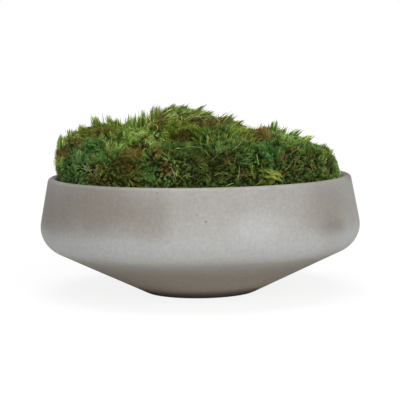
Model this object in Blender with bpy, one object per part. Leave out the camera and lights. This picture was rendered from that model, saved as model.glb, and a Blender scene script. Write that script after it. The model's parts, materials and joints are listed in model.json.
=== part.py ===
"""Moss bowl garden: clumps of cushion moss, mounded on a bed of soil in a low cast concrete bowl.

Metres, with +Z up. The origin is the centre of the foot, on the surface that the bowl stands on.
The front of the arrangement faces -Y. Each clump fills a cell of its own, parted from the clumps
round it by flat planes, and its shoots are raised from the faces of its surface.
"""

import math
from collections import namedtuple

import bmesh
import bpy
import numpy as np
from mathutils.bvhtree import BVHTree

# Bowl
BOWL_DIAMETER = 0.457
BOWL_HEIGHT = 0.1665
WALL_THICKNESS = 0.013
FLOOR_THICKNESS = 0.016
FOOT_RADIUS = 0.0785
FOOT_EDGE_RADIUS = 0.006
FLOOR_EDGE_RADIUS = 0.012
CONE_SLOPE = math.radians(25.8)
SHOULDER_RADIUS = 0.038
WALL_LEAN = math.radians(10.5)
LIP_EDGE_RADIUS = 0.006
BOWL_SIDES = 64

# Soil
SOIL_TOP = 0.203
SOIL_DROP = 0.056
SOIL_SIDES = 48
SOIL_RINGS = 7
SOIL_CLEARANCE = 0.0004

# Moss: each clump's shape
HEART_SHARE = 0.38
UNDERSIDE_DEPTH = 2.0
PILLOW_POWER = 2.4
PILLOW_BLEND = 16
LUMPS = 0.12
GREATEST_REACH = 0.090
REACH_STEPS = 360
TOP_SPREAD = 15000
TOP_POINTS = (46, 80)
TOP_BAND = (0.985, -0.10)
UNDER_POINTS = 12
UNDER_BAND = (-0.22, -0.97)
JITTER = 0.22

# Moss: where the clumps meet each other, the soil and the lip
CELL_GAP = 0.00025
GROOVE = 0.10
NEIGHBOUR_REACH = 0.150
SIZE_PULL = 0.25
LIP_GAP = 0.0008
OVERHANG_HEIGHT = 0.006
RIM_RADIUS = 0.140
RIM_FANS = (
    (0.157, (-15.0, -7.5, 0.0, 7.5, 15.0)),
    (0.169, (-11.0, -3.7, 3.7, 11.0)),
    (0.184, (-15.0, -7.5, 0.0, 7.5, 15.0)),
)
HOLDING_ROUNDS = 3

# Moss: the shoots
PACKED_MARGIN = 0.003
BED_MARGIN = 0.008
LIP_MARGIN = 0.012
SHOOT_SHARE = 0.55
SHOOT_LENGTHS = (0.70, 1.15)
LONG_SHOOTS = 0.34
WAIST_HEIGHT = 0.46
WAIST_WIDTH = 0.42
WAIST_BOW = 0.5
OUTWARD_PULL = 0.9
COMB_PULL = 0.75
COMB_DROP = 0.15
UPRIGHT_PULL = 0.9
SWIRL = (14, -10)
LOOSENESS = 0.24
LEAST_SHOOT = 0.35
EASING = 0.72
EASING_ROUNDS = 24
SEED = 11

# Colours, as linear values
CONCRETE = (0.42, 0.39, 0.36)
SOIL = (0.045, 0.028, 0.016)
SKINS = {
    "deep": (0.050, 0.110, 0.022),
    "blue": (0.045, 0.130, 0.045),
    "bright": (0.120, 0.230, 0.035),
    "olive": (0.150, 0.180, 0.025),
    "mixed": (0.095, 0.100, 0.026),
    "thatch": (0.115, 0.070, 0.024),
}

Clump = namedtuple("Clump", "name x y top half_x half_y turn comb shoot upright over skin")

# Centre, height of the tips, half sizes, turn and combing angle in degrees, length of a shoot,
# how far the shoots stand up, from 0 to 1, and how far they may reach over the lip, in millimetres
CLUMPS = (
    Clump("moss_left_front", -0.156, -0.084, 0.232, 0.064, 0.074, 20, 230, 0.019, 0.4, 6, "blue"),
    Clump("moss_front_left", -0.104, -0.142, 0.216, 0.068, 0.066, -20, 280, 0.018, 0.2, 6, "mixed"),
    Clump("moss_front_centre", -0.030, -0.156, 0.226, 0.068, 0.064, -5, 260, 0.018, 0.3, 6, "deep"),
    Clump("moss_front_right", 0.046, -0.154, 0.228, 0.066, 0.064, 10, 290, 0.018, 0.3, 6, "deep"),
    Clump("moss_right_front", 0.110, -0.122, 0.225, 0.066, 0.068, 30, 310, 0.017, 0.3, 3, "deep"),
    Clump("moss_right", 0.162, -0.046, 0.206, 0.074, 0.056, 73, 100, 0.015, 0.7, -3, "bright"),
    Clump("moss_left_back", -0.160, 0.030, 0.238, 0.060, 0.068, 10, 150, 0.019, 0.5, 6, "olive"),
    Clump("moss_centre_left", -0.104, -0.068, 0.248, 0.068, 0.062, 15, 250, 0.022, 0.3, 0, "bright"),
    Clump("moss_olive", -0.034, -0.082, 0.254, 0.063, 0.065, 0, 265, 0.018, 0.2, 0, "olive"),
    Clump("moss_centre_right", 0.040, -0.078, 0.248, 0.065, 0.065, 0, 275, 0.019, 0.3, 0, "deep"),
    Clump("moss_right_middle", 0.104, -0.048, 0.233, 0.060, 0.064, 20, 300, 0.018, 0.4, 0, "blue"),
    Clump("moss_crown", -0.016, 0.018, 0.270, 0.088, 0.070, 5, 350, 0.022, 0.3, 0, "bright"),
    Clump("moss_upright", -0.094, 0.008, 0.257, 0.056, 0.062, 0, 90, 0.026, 0.9, 0, "bright"),
    Clump("moss_left_rear", -0.132, 0.084, 0.251, 0.070, 0.066, 0, 130, 0.022, 0.6, 4, "olive"),
    Clump("moss_right_back", 0.136, 0.012, 0.230, 0.050, 0.060, 0, 20, 0.018, 0.8, -3, "bright"),
    Clump("moss_far_right", 0.160, 0.060, 0.200, 0.078, 0.058, 110, 90, 0.014, 0.7, -2, "deep"),
    Clump("moss_back_mid_left", -0.058, 0.096, 0.248, 0.068, 0.065, 10, 120, 0.019, 0.4, 0, "deep"),
    Clump("moss_back_centre", 0.028, 0.090, 0.240, 0.070, 0.068, 0, 80, 0.019, 0.4, 0, "olive"),
    Clump("moss_back_mid_right", 0.098, 0.100, 0.231, 0.068, 0.066, -10, 60, 0.020, 0.5, 0, "blue"),
    Clump("moss_rear_left", -0.096, 0.156, 0.216, 0.072, 0.064, 25, 110, 0.017, 0.4, 4, "blue"),
    Clump("moss_rear_centre", -0.010, 0.168, 0.218, 0.072, 0.062, 0, 90, 0.017, 0.4, 4, "bright"),
    Clump("moss_rear_right", 0.078, 0.158, 0.208, 0.072, 0.062, -25, 70, 0.017, 0.4, 3, "mixed"),
    Clump("thatch_left", -0.180, -0.026, 0.222, 0.054, 0.054, -15, 200, 0.010, 0.2, 6, "thatch"),
    Clump("thatch_crown", 0.020, -0.036, 0.252, 0.074, 0.054, 5, 270, 0.010, 0.2, 0, "thatch"),
    Clump("thatch_right", 0.084, 0.022, 0.240, 0.056, 0.058, 0, 290, 0.010, 0.4, 0, "thatch"),
)


# Turned shapes


def arc(centre, radius, start, end, steps):
    """Points on an arc in the (radius, height) plane, both ends included, angles in radians."""
    angles = np.linspace(start, end, steps + 1)
    return [(centre[0] + radius * math.cos(a), centre[1] + radius * math.sin(a)) for a in angles]


def shoulder_centre():
    """The centre of the shoulder's arc, which the cone below it meets without a corner."""
    radius = BOWL_DIAMETER / 2 - SHOULDER_RADIUS
    rise = (radius - FOOT_RADIUS) * math.sin(CONE_SLOPE) + SHOULDER_RADIUS
    return radius, rise / math.cos(CONE_SLOPE)


def wall_radius(height, inset):
    """Radius of the upper wall at a height, measured inset metres inside the outer face."""
    centre = shoulder_centre()
    face = centre[0] + (SHOULDER_RADIUS - inset) / math.cos(WALL_LEAN)
    return face - (height - centre[1]) * math.tan(WALL_LEAN)


def lip_centre(inset, side):
    """The centre of one of the lip's two rounded edges: side is 1 outside and -1 inside."""
    height = BOWL_HEIGHT - LIP_EDGE_RADIUS
    return wall_radius(height, inset) - side * LIP_EDGE_RADIUS / math.cos(WALL_LEAN), height


def bowl_profile():
    """The bowl's section: up its outer face from the foot, over the lip and down its inner face."""
    down = -math.pi / 2
    foot_run = FOOT_EDGE_RADIUS * math.tan(CONE_SLOPE / 2)
    foot = (FOOT_RADIUS - foot_run, FOOT_EDGE_RADIUS)
    centre = shoulder_centre()
    inner_shoulder = SHOULDER_RADIUS - WALL_THICKNESS
    floor_rise = (WALL_THICKNESS / math.cos(CONE_SLOPE) - FLOOR_THICKNESS) / math.tan(CONE_SLOPE)
    floor_run = FLOOR_EDGE_RADIUS * math.tan(CONE_SLOPE / 2)
    floor = (FOOT_RADIUS - floor_rise - floor_run, FLOOR_THICKNESS + FLOOR_EDGE_RADIUS)
    outer_lip = lip_centre(0, 1)
    inner_lip = lip_centre(WALL_THICKNESS, -1)
    section = [(0, 0)]
    section += arc(foot, FOOT_EDGE_RADIUS, down, down + CONE_SLOPE, 2)
    section += arc(centre, SHOULDER_RADIUS, down + CONE_SLOPE, WALL_LEAN, 8)
    section += arc(outer_lip, LIP_EDGE_RADIUS, WALL_LEAN, math.pi / 2, 3)
    section += arc(inner_lip, LIP_EDGE_RADIUS, math.pi / 2, math.pi + WALL_LEAN, 3)
    section += arc(centre, inner_shoulder, WALL_LEAN, down + CONE_SLOPE, 3)
    section += arc(floor, FLOOR_EDGE_RADIUS, down + CONE_SLOPE, down, 1)
    section += [(0, FLOOR_THICKNESS)]
    return section


def mouth_radius():
    """Radius of the opening, at the bottom of the lip's inner rounding."""
    return wall_radius(BOWL_HEIGHT - LIP_EDGE_RADIUS, WALL_THICKNESS)


def soil_height(radius):
    """Height of the soil's domed surface."""
    return SOIL_TOP - SOIL_DROP * (radius / mouth_radius()) ** 2


def soil_profile():
    """The soil's section: out along the bowl's floor, up its inner face and back over the dome."""
    inset = WALL_THICKNESS + SOIL_CLEARANCE
    down = -math.pi / 2
    centre = shoulder_centre()
    floor_height = FLOOR_THICKNESS + SOIL_CLEARANCE
    rise = (inset / math.cos(CONE_SLOPE) - floor_height) / math.tan(CONE_SLOPE)
    run = FLOOR_EDGE_RADIUS * math.tan(CONE_SLOPE / 2)
    floor = (FOOT_RADIUS - rise - run, floor_height + FLOOR_EDGE_RADIUS)
    edge_height = soil_height(mouth_radius())
    edge_radius = wall_radius(edge_height, inset)
    section = [(0, floor_height)]
    section += arc(floor, FLOOR_EDGE_RADIUS, down, down + CONE_SLOPE, 1)
    section += arc(centre, SHOULDER_RADIUS - inset, down + CONE_SLOPE, WALL_LEAN, 3)
    for radius in np.linspace(edge_radius, 0, SOIL_RINGS + 1):
        section.append((radius, soil_height(radius)))
    return section


def turned(name, section, sides, colour, roughness):
    """A solid turned from a section that starts and ends on the axis."""
    vertices = [(0, 0, section[0][1]), (0, 0, section[-1][1])]
    rings = section[1:-1]
    for radius, height in rings:
        for k in range(sides):
            angle = 2 * math.pi * k / sides
            vertices.append((radius * math.cos(angle), radius * math.sin(angle), height))
    faces = []
    last = 2 + (len(rings) - 1) * sides
    for k in range(sides):
        after = (k + 1) % sides
        faces.append((0, 2 + after, 2 + k))
        faces.append((1, last + k, last + after))
        for ring in range(len(rings) - 1):
            low = 2 + ring * sides
            high = low + sides
            faces.append((low + k, low + after, high + after, high + k))
    made = solid(name, vertices, faces, colour, roughness)
    made.data.shade_smooth()
    made.data.set_sharp_from_angle(angle=math.radians(35))
    return made


# Objects and materials


def material(name, colour, roughness):
    """A plain non-metal finish."""
    made = bpy.data.materials.get(name) or bpy.data.materials.new(name)
    made.use_nodes = True
    shader = made.node_tree.nodes["Principled BSDF"]
    shader.inputs["Base Color"].default_value = (*colour, 1)
    shader.inputs["Roughness"].default_value = roughness
    shader.inputs["Metallic"].default_value = 0
    return made


def solid(name, vertices, faces, colour, roughness):
    """An object from vertices and faces, with a material of its own."""
    mesh = bpy.data.meshes.new(name)
    mesh.from_pydata([tuple(v) for v in vertices], [], [tuple(f) for f in faces])
    mesh.materials.append(material(name + "_finish", colour, roughness))
    mesh.update()
    made = bpy.data.objects.new(name, mesh)
    bpy.context.scene.collection.objects.link(made)
    return made


# The cells that the clumps fill


def unit(vectors):
    """Vectors at length 1."""
    return vectors / np.linalg.norm(vectors, axis=-1, keepdims=True)


def heart_of(clump):
    """The point that a clump's surface is measured from, and its height above the soil there."""
    ground = float(soil_height(math.hypot(clump.x, clump.y)))
    core_top = clump.top - SHOOT_SHARE * clump.shoot
    height = ground + HEART_SHARE * (core_top - ground)
    return np.array((clump.x, clump.y, height)), core_top - height


def pillow(clump, points):
    """How far out points lie in a clump's pillow shape: 1 is its surface, 0 its heart."""
    heart, rise = heart_of(clump)
    turn = math.radians(clump.turn)
    along = points - heart
    across = np.stack(
        (
            (along[..., 0] * math.cos(turn) + along[..., 1] * math.sin(turn)) / clump.half_x,
            (along[..., 1] * math.cos(turn) - along[..., 0] * math.sin(turn)) / clump.half_y,
            along[..., 2] / np.where(along[..., 2] > 0, rise, UNDERSIDE_DEPTH * rise),
        ),
        axis=-1,
    )
    return (np.abs(across) ** PILLOW_POWER).sum(axis=-1) ** (1 / PILLOW_POWER)


def bed_of(clump):
    """The flat bed under a clump, which touches the soil's dome below its heart."""
    heart = heart_of(clump)[0]
    slope = -2 * SOIL_DROP / mouth_radius() ** 2
    down = np.array((slope * clump.x, slope * clump.y, -1))
    depth = heart[2] - soil_height(math.hypot(clump.x, clump.y))
    return unit(down), depth / float(np.linalg.norm(down))


def walls_of(clump):
    """The planes round a clump, as unit normals that point away from it and distances."""
    heart = heart_of(clump)[0]
    bed, depth = bed_of(clump)
    normals, distances = [bed], [depth]
    for other in CLUMPS:
        between = heart_of(other)[0] - heart
        length = float(np.linalg.norm(between))
        if other is clump or length > NEIGHBOUR_REACH:
            continue
        larger = clump.half_x * clump.half_y - other.half_x * other.half_y
        normals.append(between / length)
        distances.append(length / 2 + SIZE_PULL * larger / length)
    return np.array(normals), np.array(distances)


def surface_distance(clump, walls, directions, lumps):
    """How far a clump's surface lies from its heart, along each direction."""
    heart, rise = heart_of(clump)
    steps = np.linspace(0, GREATEST_REACH, REACH_STEPS + 1)
    points = heart + steps[None, :, None] * directions[:, None, :]
    pressure = (pillow(clump, points) * lumps[:, None]) ** PILLOW_BLEND
    groove = 1 + GROOVE * np.maximum(points[..., 2] - heart[2], 0) / rise
    for normal, distance in zip(*walls):
        share = np.maximum((points - heart) @ normal, 0) / (distance - CELL_GAP)
        pressure += (share * groove) ** PILLOW_BLEND
    inside = np.hypot(points[..., 0], points[..., 1]) < mouth_radius() - LIP_GAP
    free = (pressure < 1) & inside
    reached = np.argmin(free, axis=1)
    return steps[np.maximum(reached - 1, 1)]


# Clump surfaces and the shoots on them


def spread_directions(clump, random):
    """Directions spread evenly over a clump's pillow, closer together on top than underneath."""
    golden = math.pi * (3 - math.sqrt(5))
    count = int(np.clip(TOP_SPREAD * clump.half_x * clump.half_y, *TOP_POINTS))
    top = np.linspace(*TOP_BAND, count)
    under = np.linspace(*UNDER_BAND, UNDER_POINTS)
    height = np.concatenate((top, under))
    angle = golden * np.arange(len(height)) + random.uniform(0, 2 * math.pi)
    angle += random.uniform(-JITTER, JITTER, len(height))
    level = np.sqrt(1 - height**2)
    rise = heart_of(clump)[1]
    turn = math.radians(clump.turn)
    along = level * np.cos(angle) * clump.half_x
    across = level * np.sin(angle) * clump.half_y
    spread = np.stack(
        (
            along * math.cos(turn) - across * math.sin(turn),
            along * math.sin(turn) + across * math.cos(turn),
            height * rise,
        ),
        axis=-1,
    )
    return np.concatenate((unit(spread), rim_directions(clump)))


def rim_directions(clump):
    """Directions that bring a clump beside the lip right up to it, all along its cell."""
    heart = heart_of(clump)[0]
    aims = []
    if math.hypot(clump.x, clump.y) > RIM_RADIUS:
        towards = math.atan2(clump.y, clump.x)
        for height, fan in RIM_FANS:
            for turn in fan:
                angle = towards + math.radians(turn)
                edge = (mouth_radius() * math.cos(angle), mouth_radius() * math.sin(angle), height)
                aims.append(np.array(edge) - heart)
    return unit(np.array(aims).reshape(-1, 3))


def net_over(directions):
    """Triangles that join unit directions into a closed net, facing out."""
    net = bmesh.new()
    for number, direction in enumerate(directions):
        net.verts.new(direction).index = number
    bmesh.ops.convex_hull(net, input=net.verts)
    bmesh.ops.triangulate(net, faces=net.faces)
    triangles = []
    for face in net.faces:
        corners = [vertex.index for vertex in face.verts]
        facing = face.normal.dot(face.calc_center_median())
        triangles.append(corners if facing > 0 else corners[::-1])
    net.free()
    return np.array(sorted(triangles))


def rooted_faces(clump, walls, vertices, triangles):
    """The faces that bear a shoot: those on the open side, clear of the neighbours and the lip."""
    heart = heart_of(clump)[0]
    middle = vertices[triangles].mean(axis=1)
    margins = np.full(len(walls[1]), PACKED_MARGIN)
    margins[0] = BED_MARGIN
    open_air = np.ones(len(middle), dtype=bool)
    for normal, distance, margin in zip(*walls, margins):
        open_air &= (middle - heart) @ normal < distance - margin
    radius = np.hypot(middle[:, 0], middle[:, 1])
    beside_lip = (middle[:, 2] < BOWL_HEIGHT + LIP_GAP) & (radius > mouth_radius() - LIP_MARGIN)
    return np.nonzero(open_air & ~beside_lip)[0]


def shoot_directions(clump, middle, normal, random):
    """Which way the shoots point: out of the surface, combed, and a little at random."""
    comb = math.radians(clump.comb)
    swirl = comb + (middle[:, :2] - (clump.x, clump.y)) @ SWIRL
    combed = np.stack((np.cos(swirl), np.sin(swirl), np.full(len(swirl), -COMB_DROP)), axis=-1)
    loose = random.normal(0, LOOSENESS, middle.shape)
    lean = (1 - clump.upright) * COMB_PULL * combed
    lean[:, 2] += clump.upright * UPRIGHT_PULL
    return unit(normal * OUTWARD_PULL + lean + loose)


def hold_in_cell(clump, walls, points, over_lip):
    """Points moved back to their own side of the planes, and inside the mouth or over the lip."""
    heart = heart_of(clump)[0]
    held = points.copy()
    for _ in range(HOLDING_ROUNDS):
        for normal, distance in zip(*walls):
            past = np.maximum((held - heart) @ normal - distance + CELL_GAP, 0)
            held -= past[:, None] * normal
        radius = np.hypot(held[:, 0], held[:, 1])
        reach = mouth_radius() + np.where(over_lip, clump.over / 1000, -LIP_GAP)
        held[:, :2] *= np.minimum(1, reach / radius)[:, None]
        least = np.where(over_lip, BOWL_HEIGHT + OVERHANG_HEIGHT, 0)
        held[:, 2] = np.maximum(held[:, 2], least)
    return held


def grow(clump, walls, vertices, triangles, shoots):
    """The clump's mesh with its shoots raised, and the shoot that each triangle belongs to."""
    points = [tuple(v) for v in vertices]
    faces = []
    owners = []
    rooted = {face: number for number, face in enumerate(shoots["face"])}
    corners = vertices[triangles[shoots["face"]]]
    middle = corners.mean(axis=1)
    outward = unit(middle - heart_of(clump)[0])
    ease = shoots["ease"][:, None]
    way = unit(shoots["way"] * ease + outward * (1 - ease))
    reach = (shoots["length"] * (LEAST_SHOOT + (1 - LEAST_SHOOT) * shoots["ease"]))[:, None]
    waist = middle + WAIST_HEIGHT * reach * unit(way + WAIST_BOW * outward)
    over_lip = corners[..., 2].min(axis=1) > BOWL_HEIGHT + LIP_GAP
    tips = hold_in_cell(clump, walls, middle + reach * way, over_lip)
    for face, triangle in enumerate(triangles):
        number = rooted.get(face)
        if number is None:
            faces.append(tuple(triangle))
            owners.append(-1)
            continue
        base = [int(corner) for corner in triangle]
        if shoots["long"][number]:
            ring = waist[number] + WAIST_WIDTH * (corners[number] - middle[number])
            ring = hold_in_cell(clump, walls, ring, over_lip[number])
            first = len(points)
            points += [tuple(p) for p in ring]
            for k in range(3):
                after = (k + 1) % 3
                faces.append((base[k], base[after], first + after))
                faces.append((base[k], first + after, first + k))
                owners += [number, number]
            base = [first, first + 1, first + 2]
        points.append(tuple(tips[number]))
        for k in range(3):
            faces.append((base[k], base[(k + 1) % 3], len(points) - 1))
            owners.append(number)
    return points, faces, owners


def moss(clump, random):
    """A clump of moss: a pillow in its cell, with a shoot on each open face.

    Shoots that would cross each other are eased: drawn in, and turned towards straight out.
    """
    walls = walls_of(clump)
    directions = spread_directions(clump, random)
    triangles = net_over(directions)
    lumps = 1 + LUMPS * random.random(len(directions))
    distance = surface_distance(clump, walls, directions, lumps)
    vertices = heart_of(clump)[0] + distance[:, None] * directions
    faces = rooted_faces(clump, walls, vertices, triangles)
    corners = vertices[triangles[faces]]
    normal = unit(np.cross(corners[:, 1] - corners[:, 0], corners[:, 2] - corners[:, 0]))
    shoots = {
        "face": faces,
        "way": shoot_directions(clump, corners.mean(axis=1), normal, random),
        "length": clump.shoot * random.uniform(*SHOOT_LENGTHS, len(faces)),
        "long": random.random(len(faces)) < LONG_SHOOTS,
        "ease": np.ones(len(faces)),
    }
    for _ in range(EASING_ROUNDS):
        points, polygons, owners = grow(clump, walls, vertices, triangles, shoots)
        tree = BVHTree.FromPolygons(points, polygons)
        crossing = {owners[face] for pair in tree.overlap(tree) for face in pair}
        crossing.discard(-1)
        if not crossing:
            break
        shoots["ease"][sorted(crossing)] *= EASING
    return solid(clump.name, points, polygons, SKINS[clump.skin], 0.85)


def main():
    for old in list(bpy.data.objects):
        bpy.data.objects.remove(old)
    turned("bowl", bowl_profile(), BOWL_SIDES, CONCRETE, 0.6)
    turned("soil", soil_profile(), SOIL_SIDES, SOIL, 0.95)
    for number, clump in enumerate(CLUMPS):
        moss(clump, np.random.default_rng(SEED + number))


main()
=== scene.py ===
"""The looks of the moss bowl garden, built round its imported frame.

Metres, with +Z up, and the front faces -Y. The bowl is turned again with finer sides. Each clump of
moss becomes a cushion of old stems with leafy shoots on it, which follow the shoots that the frame's
solid has. Places read off the photograph are in pixels of its 400 by 400 picture. They are carried
along the camera's line of sight to the moss, so each piece there lies on what it grows from.
"""

import json
import math
from collections import namedtuple

import bpy
import numpy as np
from mathutils import Matrix, Vector, noise
from mathutils.bvhtree import BVHTree

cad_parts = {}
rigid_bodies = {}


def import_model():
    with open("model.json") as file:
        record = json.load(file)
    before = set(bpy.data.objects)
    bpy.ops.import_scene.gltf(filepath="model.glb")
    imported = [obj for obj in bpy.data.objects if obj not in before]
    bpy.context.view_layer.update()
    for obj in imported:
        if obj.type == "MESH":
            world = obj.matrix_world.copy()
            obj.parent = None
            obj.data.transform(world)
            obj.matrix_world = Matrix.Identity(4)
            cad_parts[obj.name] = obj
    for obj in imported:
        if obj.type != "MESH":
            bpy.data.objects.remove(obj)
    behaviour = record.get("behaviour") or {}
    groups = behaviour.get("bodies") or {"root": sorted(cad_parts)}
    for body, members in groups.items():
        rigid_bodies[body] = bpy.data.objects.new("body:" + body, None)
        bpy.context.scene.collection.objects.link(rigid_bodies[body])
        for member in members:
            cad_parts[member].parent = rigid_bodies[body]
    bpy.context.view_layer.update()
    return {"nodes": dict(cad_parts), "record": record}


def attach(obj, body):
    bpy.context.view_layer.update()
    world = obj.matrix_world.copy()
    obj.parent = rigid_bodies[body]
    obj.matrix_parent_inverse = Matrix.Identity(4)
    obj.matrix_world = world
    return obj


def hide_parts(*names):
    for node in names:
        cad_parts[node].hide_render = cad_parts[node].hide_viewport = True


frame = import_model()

# Camera, and the size of one of the picture's pixels in the middle of the bowl
PICTURE_SIDE = 400
SENSOR_WIDTH = 36.0
CAMERA_LENS = 137.5
CAMERA_PLACE = (0.0, -2.1854, 0.3404)
CAMERA_AIM = (0.0003, 0.0, 0.1304)
CAMERA_ROLL = math.radians(0.8)
CLIP_DISTANCES = (0.05, 100)
PIXEL = -CAMERA_PLACE[1] * SENSOR_WIDTH / CAMERA_LENS / PICTURE_SIDE

# Studio: each light's azimuth is measured to the right of the camera's side
WARM_WHITE = (1.0, 0.99, 0.97)
COOL_WHITE = (0.99, 0.995, 1.0)
Light = namedtuple("Light", "name azimuth elevation strength spread colour")
LIGHTS = (
    Light("key_light", 14, 24, 1.45, 50, WARM_WHITE),
    Light("side_light", 50, 30, 0.55, 50, WARM_WHITE),
    Light("left_light", -55, 35, 0.30, 50, WARM_WHITE),
    Light("top_light", 0, 84, 1.75, 50, COOL_WHITE),
)
SKY_LIGHT = 0.10
SKY_COLOUR = (1.0, 1.0, 1.0)
BACKDROP = (1.0, 1.0, 1.0)
FLOOR_SIDE = 30.0
FLOOR_COLOUR = (0.80, 0.80, 0.80)
FLOOR_WHITENESS = 0.80
PAPER_GLOW = 1.08

# Bowl, as the frame has it
BOWL_DIAMETER = 0.457
BOWL_HEIGHT = 0.1665
WALL_THICKNESS = 0.013
FLOOR_THICKNESS = 0.016
FOOT_RADIUS = 0.0785
FOOT_EDGE_RADIUS = 0.006
FLOOR_EDGE_RADIUS = 0.012
CONE_SLOPE = math.radians(25.8)
SHOULDER_RADIUS = 0.038
WALL_LEAN = math.radians(10.5)
LIP_EDGE_RADIUS = 0.006

# How finely the bowl is turned, and how uneven its casting is
BOWL_SIDES = 256
SECTION_STEP = 0.011
SHARP_ANGLE = math.radians(50)
CASTING_WOBBLE = 0.00035
CASTING_WAVE = 9.0

# Points of a solid closer than this are one, and the shoots are rooted so deep under its surface
WELD = 2e-6
SINK = 0.0030

# How much sky a place on the moss sees: in how many directions it looks, from what height over what
# span, how far, and under what share of open sky no shoot grows
SKY_DIRECTIONS = 14
SKY_LOW = 0.06
SKY_SPAN = 0.92
SKY_REACH = 0.050
LEAST_SKY = 0.12

# How far apart the shoots, the tufts that they gather in and the loose blades stand, how wide a tuft is,
# how short a stem can be, and which share of the shoots stands astray
SHOOT_SPACING = 0.0040
TUFT_SPACING = 0.0095
BLADE_SPACING = 0.0085
TUFT_RADIUS = 0.008
LEAST_STEM = 0.002
LOOSE_SHARE = 0.10
GOLDEN_ANGLE = math.pi * (3 - math.sqrt(5))

# How thick the stems are and how wide the blades, and how deep a tall tuft is rooted
SHOOT_STEM = 0.0008
TUFT_STEM = 0.0009
PLUME_STEM = 0.0009
BLADE_WIDTHS = (0.0005, 0.0009)
TUFT_BLADE_WIDTHS = (0.0009, 0.0018)
TUFT_SINK = 0.004

# How far a clump's colours stray over its borders, and how quickly its borders and its sweep wander
STRAY_REACH = 0.036
BORDER_WAVE = 42.0
COMB_WAVE = 38.0

# In pixels: the room that the leaves take under the skyline, how much less depth counts in a patch, and
# how far below a patch's leaves its place on the bare moss is
LEAF_ROOM = 4.0
PATCH_DEPTH = 4.2
LEAF_DROP = 5.5

# The moss's edge: the air that it keeps to the wall and over the lip, how softly it is held in, how far
# past the mouth a piece of its own may reach, and over what height it gains its full reach
WALL_AIR = 0.0006
LIP_AIR = 0.0012
EDGE_KNEE = 0.003
EXTRA_OVER = 0.004
EDGE_RISE = 0.025

# How far the edge bulges in waves and is rounded at the top, and how leaves turn along it
EDGE_WAVE = 0.0050
EDGE_ROUNDNESS = 0.008
EDGE_TOP = 0.060
MOST_TURN = 0.6
SWEEP_SHARE = 0.3

# How far inside the edge the roots, the tips and the cushions of old stems stay
ROOT_MARGIN = 0.0050
TIP_MARGIN = 0.0018
CUSHION_MARGIN = 0.0080

# The cushions lie this much lower than the solids, and are lumpy
CUSHION_DROP = 0.002
CUSHION_LUMP = 0.0012
CUSHION_WAVE = 90

# The starts of the random draws: the first clump's, the extra pieces' and the noise's
SEED = 5
EXTRAS_SEED = 105
NOISE_SEED = 5

# Ways of growing: how many leaves a shoot has, how long and wide they are, how many degrees the lowest
# and the highest spread, how they hook up and sweep aside, and how far a tuft's tips gather
Growth = namedtuple("Growth", "leaves length width low_spread high_spread hook sweep gather")
GROWTHS = {
    "brush": Growth(13, 0.0130, 0.00095, 28, 14, 0.60, 0.55, 0.20),
    "spear": Growth(12, 0.0150, 0.00105, 24, 9, 0.50, 0.25, 0.55),
    "feather": Growth(14, 0.0105, 0.00100, 40, 22, 0.50, 0.60, 0.10),
    "curl": Growth(14, 0.0115, 0.00105, 38, 22, 0.10, 0.95, 0.15),
    "shag": Growth(11, 0.0200, 0.00110, 20, 9, 0.30, 0.70, 0.50),
    "thatch": Growth(8, 0.0150, 0.00085, 32, 18, 0.20, 0.80, 0.10),
}

# Each clump's way of growing, the direction it is combed in, how wild that is between tufts, how far
# its shoots lie over, and how far it may reach past the mouth
Clump = namedtuple("Clump", "growth comb wild lie over")
CLUMPS = {
    "moss_left_front": Clump("curl", (0.5, -0.2, -0.4), 0.9, 1.4, 0.001),
    "moss_front_left": Clump("brush", (0.8, -0.1, -0.4), 0.9, 1.5, 0.004),
    "moss_front_centre": Clump("feather", (0.6, -0.1, 0.5), 1.1, 1.4, 0.003),
    "moss_front_right": Clump("feather", (0.7, -0.1, 0.5), 1.1, 1.4, 0.003),
    "moss_right_front": Clump("feather", (0.6, -0.1, 0.6), 1.1, 1.3, 0.003),
    "moss_right": Clump("feather", (0.3, 0.2, 0.8), 0.9, 1.1, -0.008),
    "moss_left_back": Clump("brush", (-0.5, -0.2, 0.3), 0.6, 0.9, 0.010),
    "moss_centre_left": Clump("brush", (0.2, -0.2, 0.9), 0.7, 1.1, 0.0),
    "moss_olive": Clump("feather", (0.8, -0.3, -0.2), 0.8, 1.3, 0.0),
    "moss_centre_right": Clump("feather", (0.7, -0.2, 0.1), 1.0, 1.3, 0.0),
    "moss_right_middle": Clump("feather", (0.8, -0.1, 0.3), 0.9, 1.3, 0.0),
    "moss_crown": Clump("shag", (1.0, -0.3, -0.1), 0.5, 0.9, 0.0),
    "moss_upright": Clump("spear", (0.0, 0.1, 1.0), 0.4, 0.1, 0.0),
    "moss_left_rear": Clump("spear", (-0.3, 0.3, 0.6), 0.6, 0.3, 0.008),
    "moss_right_back": Clump("brush", (0.9, 0.2, 0.2), 0.6, 0.9, -0.005),
    "moss_far_right": Clump("feather", (0.2, 0.6, 0.4), 0.7, 0.8, -0.005),
    "moss_back_mid_left": Clump("feather", (-0.3, 0.7, 0.1), 0.8, 1.0, 0.0),
    "moss_back_centre": Clump("brush", (0.1, 0.8, 0.2), 0.7, 0.9, 0.0),
    "moss_back_mid_right": Clump("curl", (0.4, 0.6, -0.3), 0.8, 1.2, 0.0),
    "moss_rear_left": Clump("curl", (-0.3, 0.5, -0.5), 0.8, 1.2, 0.004),
    "moss_rear_centre": Clump("brush", (0.1, 0.4, 0.6), 0.8, 1.2, 0.004),
    "moss_rear_right": Clump("feather", (0.3, 0.5, 0.1), 0.9, 1.2, 0.003),
    "thatch_left": Clump("thatch", (-0.7, -0.3, -0.3), 0.6, 0.9, 0.005),
    "thatch_crown": Clump("thatch", (0.6, -0.5, -0.4), 0.6, 0.9, 0.0),
    "thatch_right": Clump("thatch", (0.7, -0.4, -0.3), 0.6, 0.9, 0.0),
}

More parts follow.
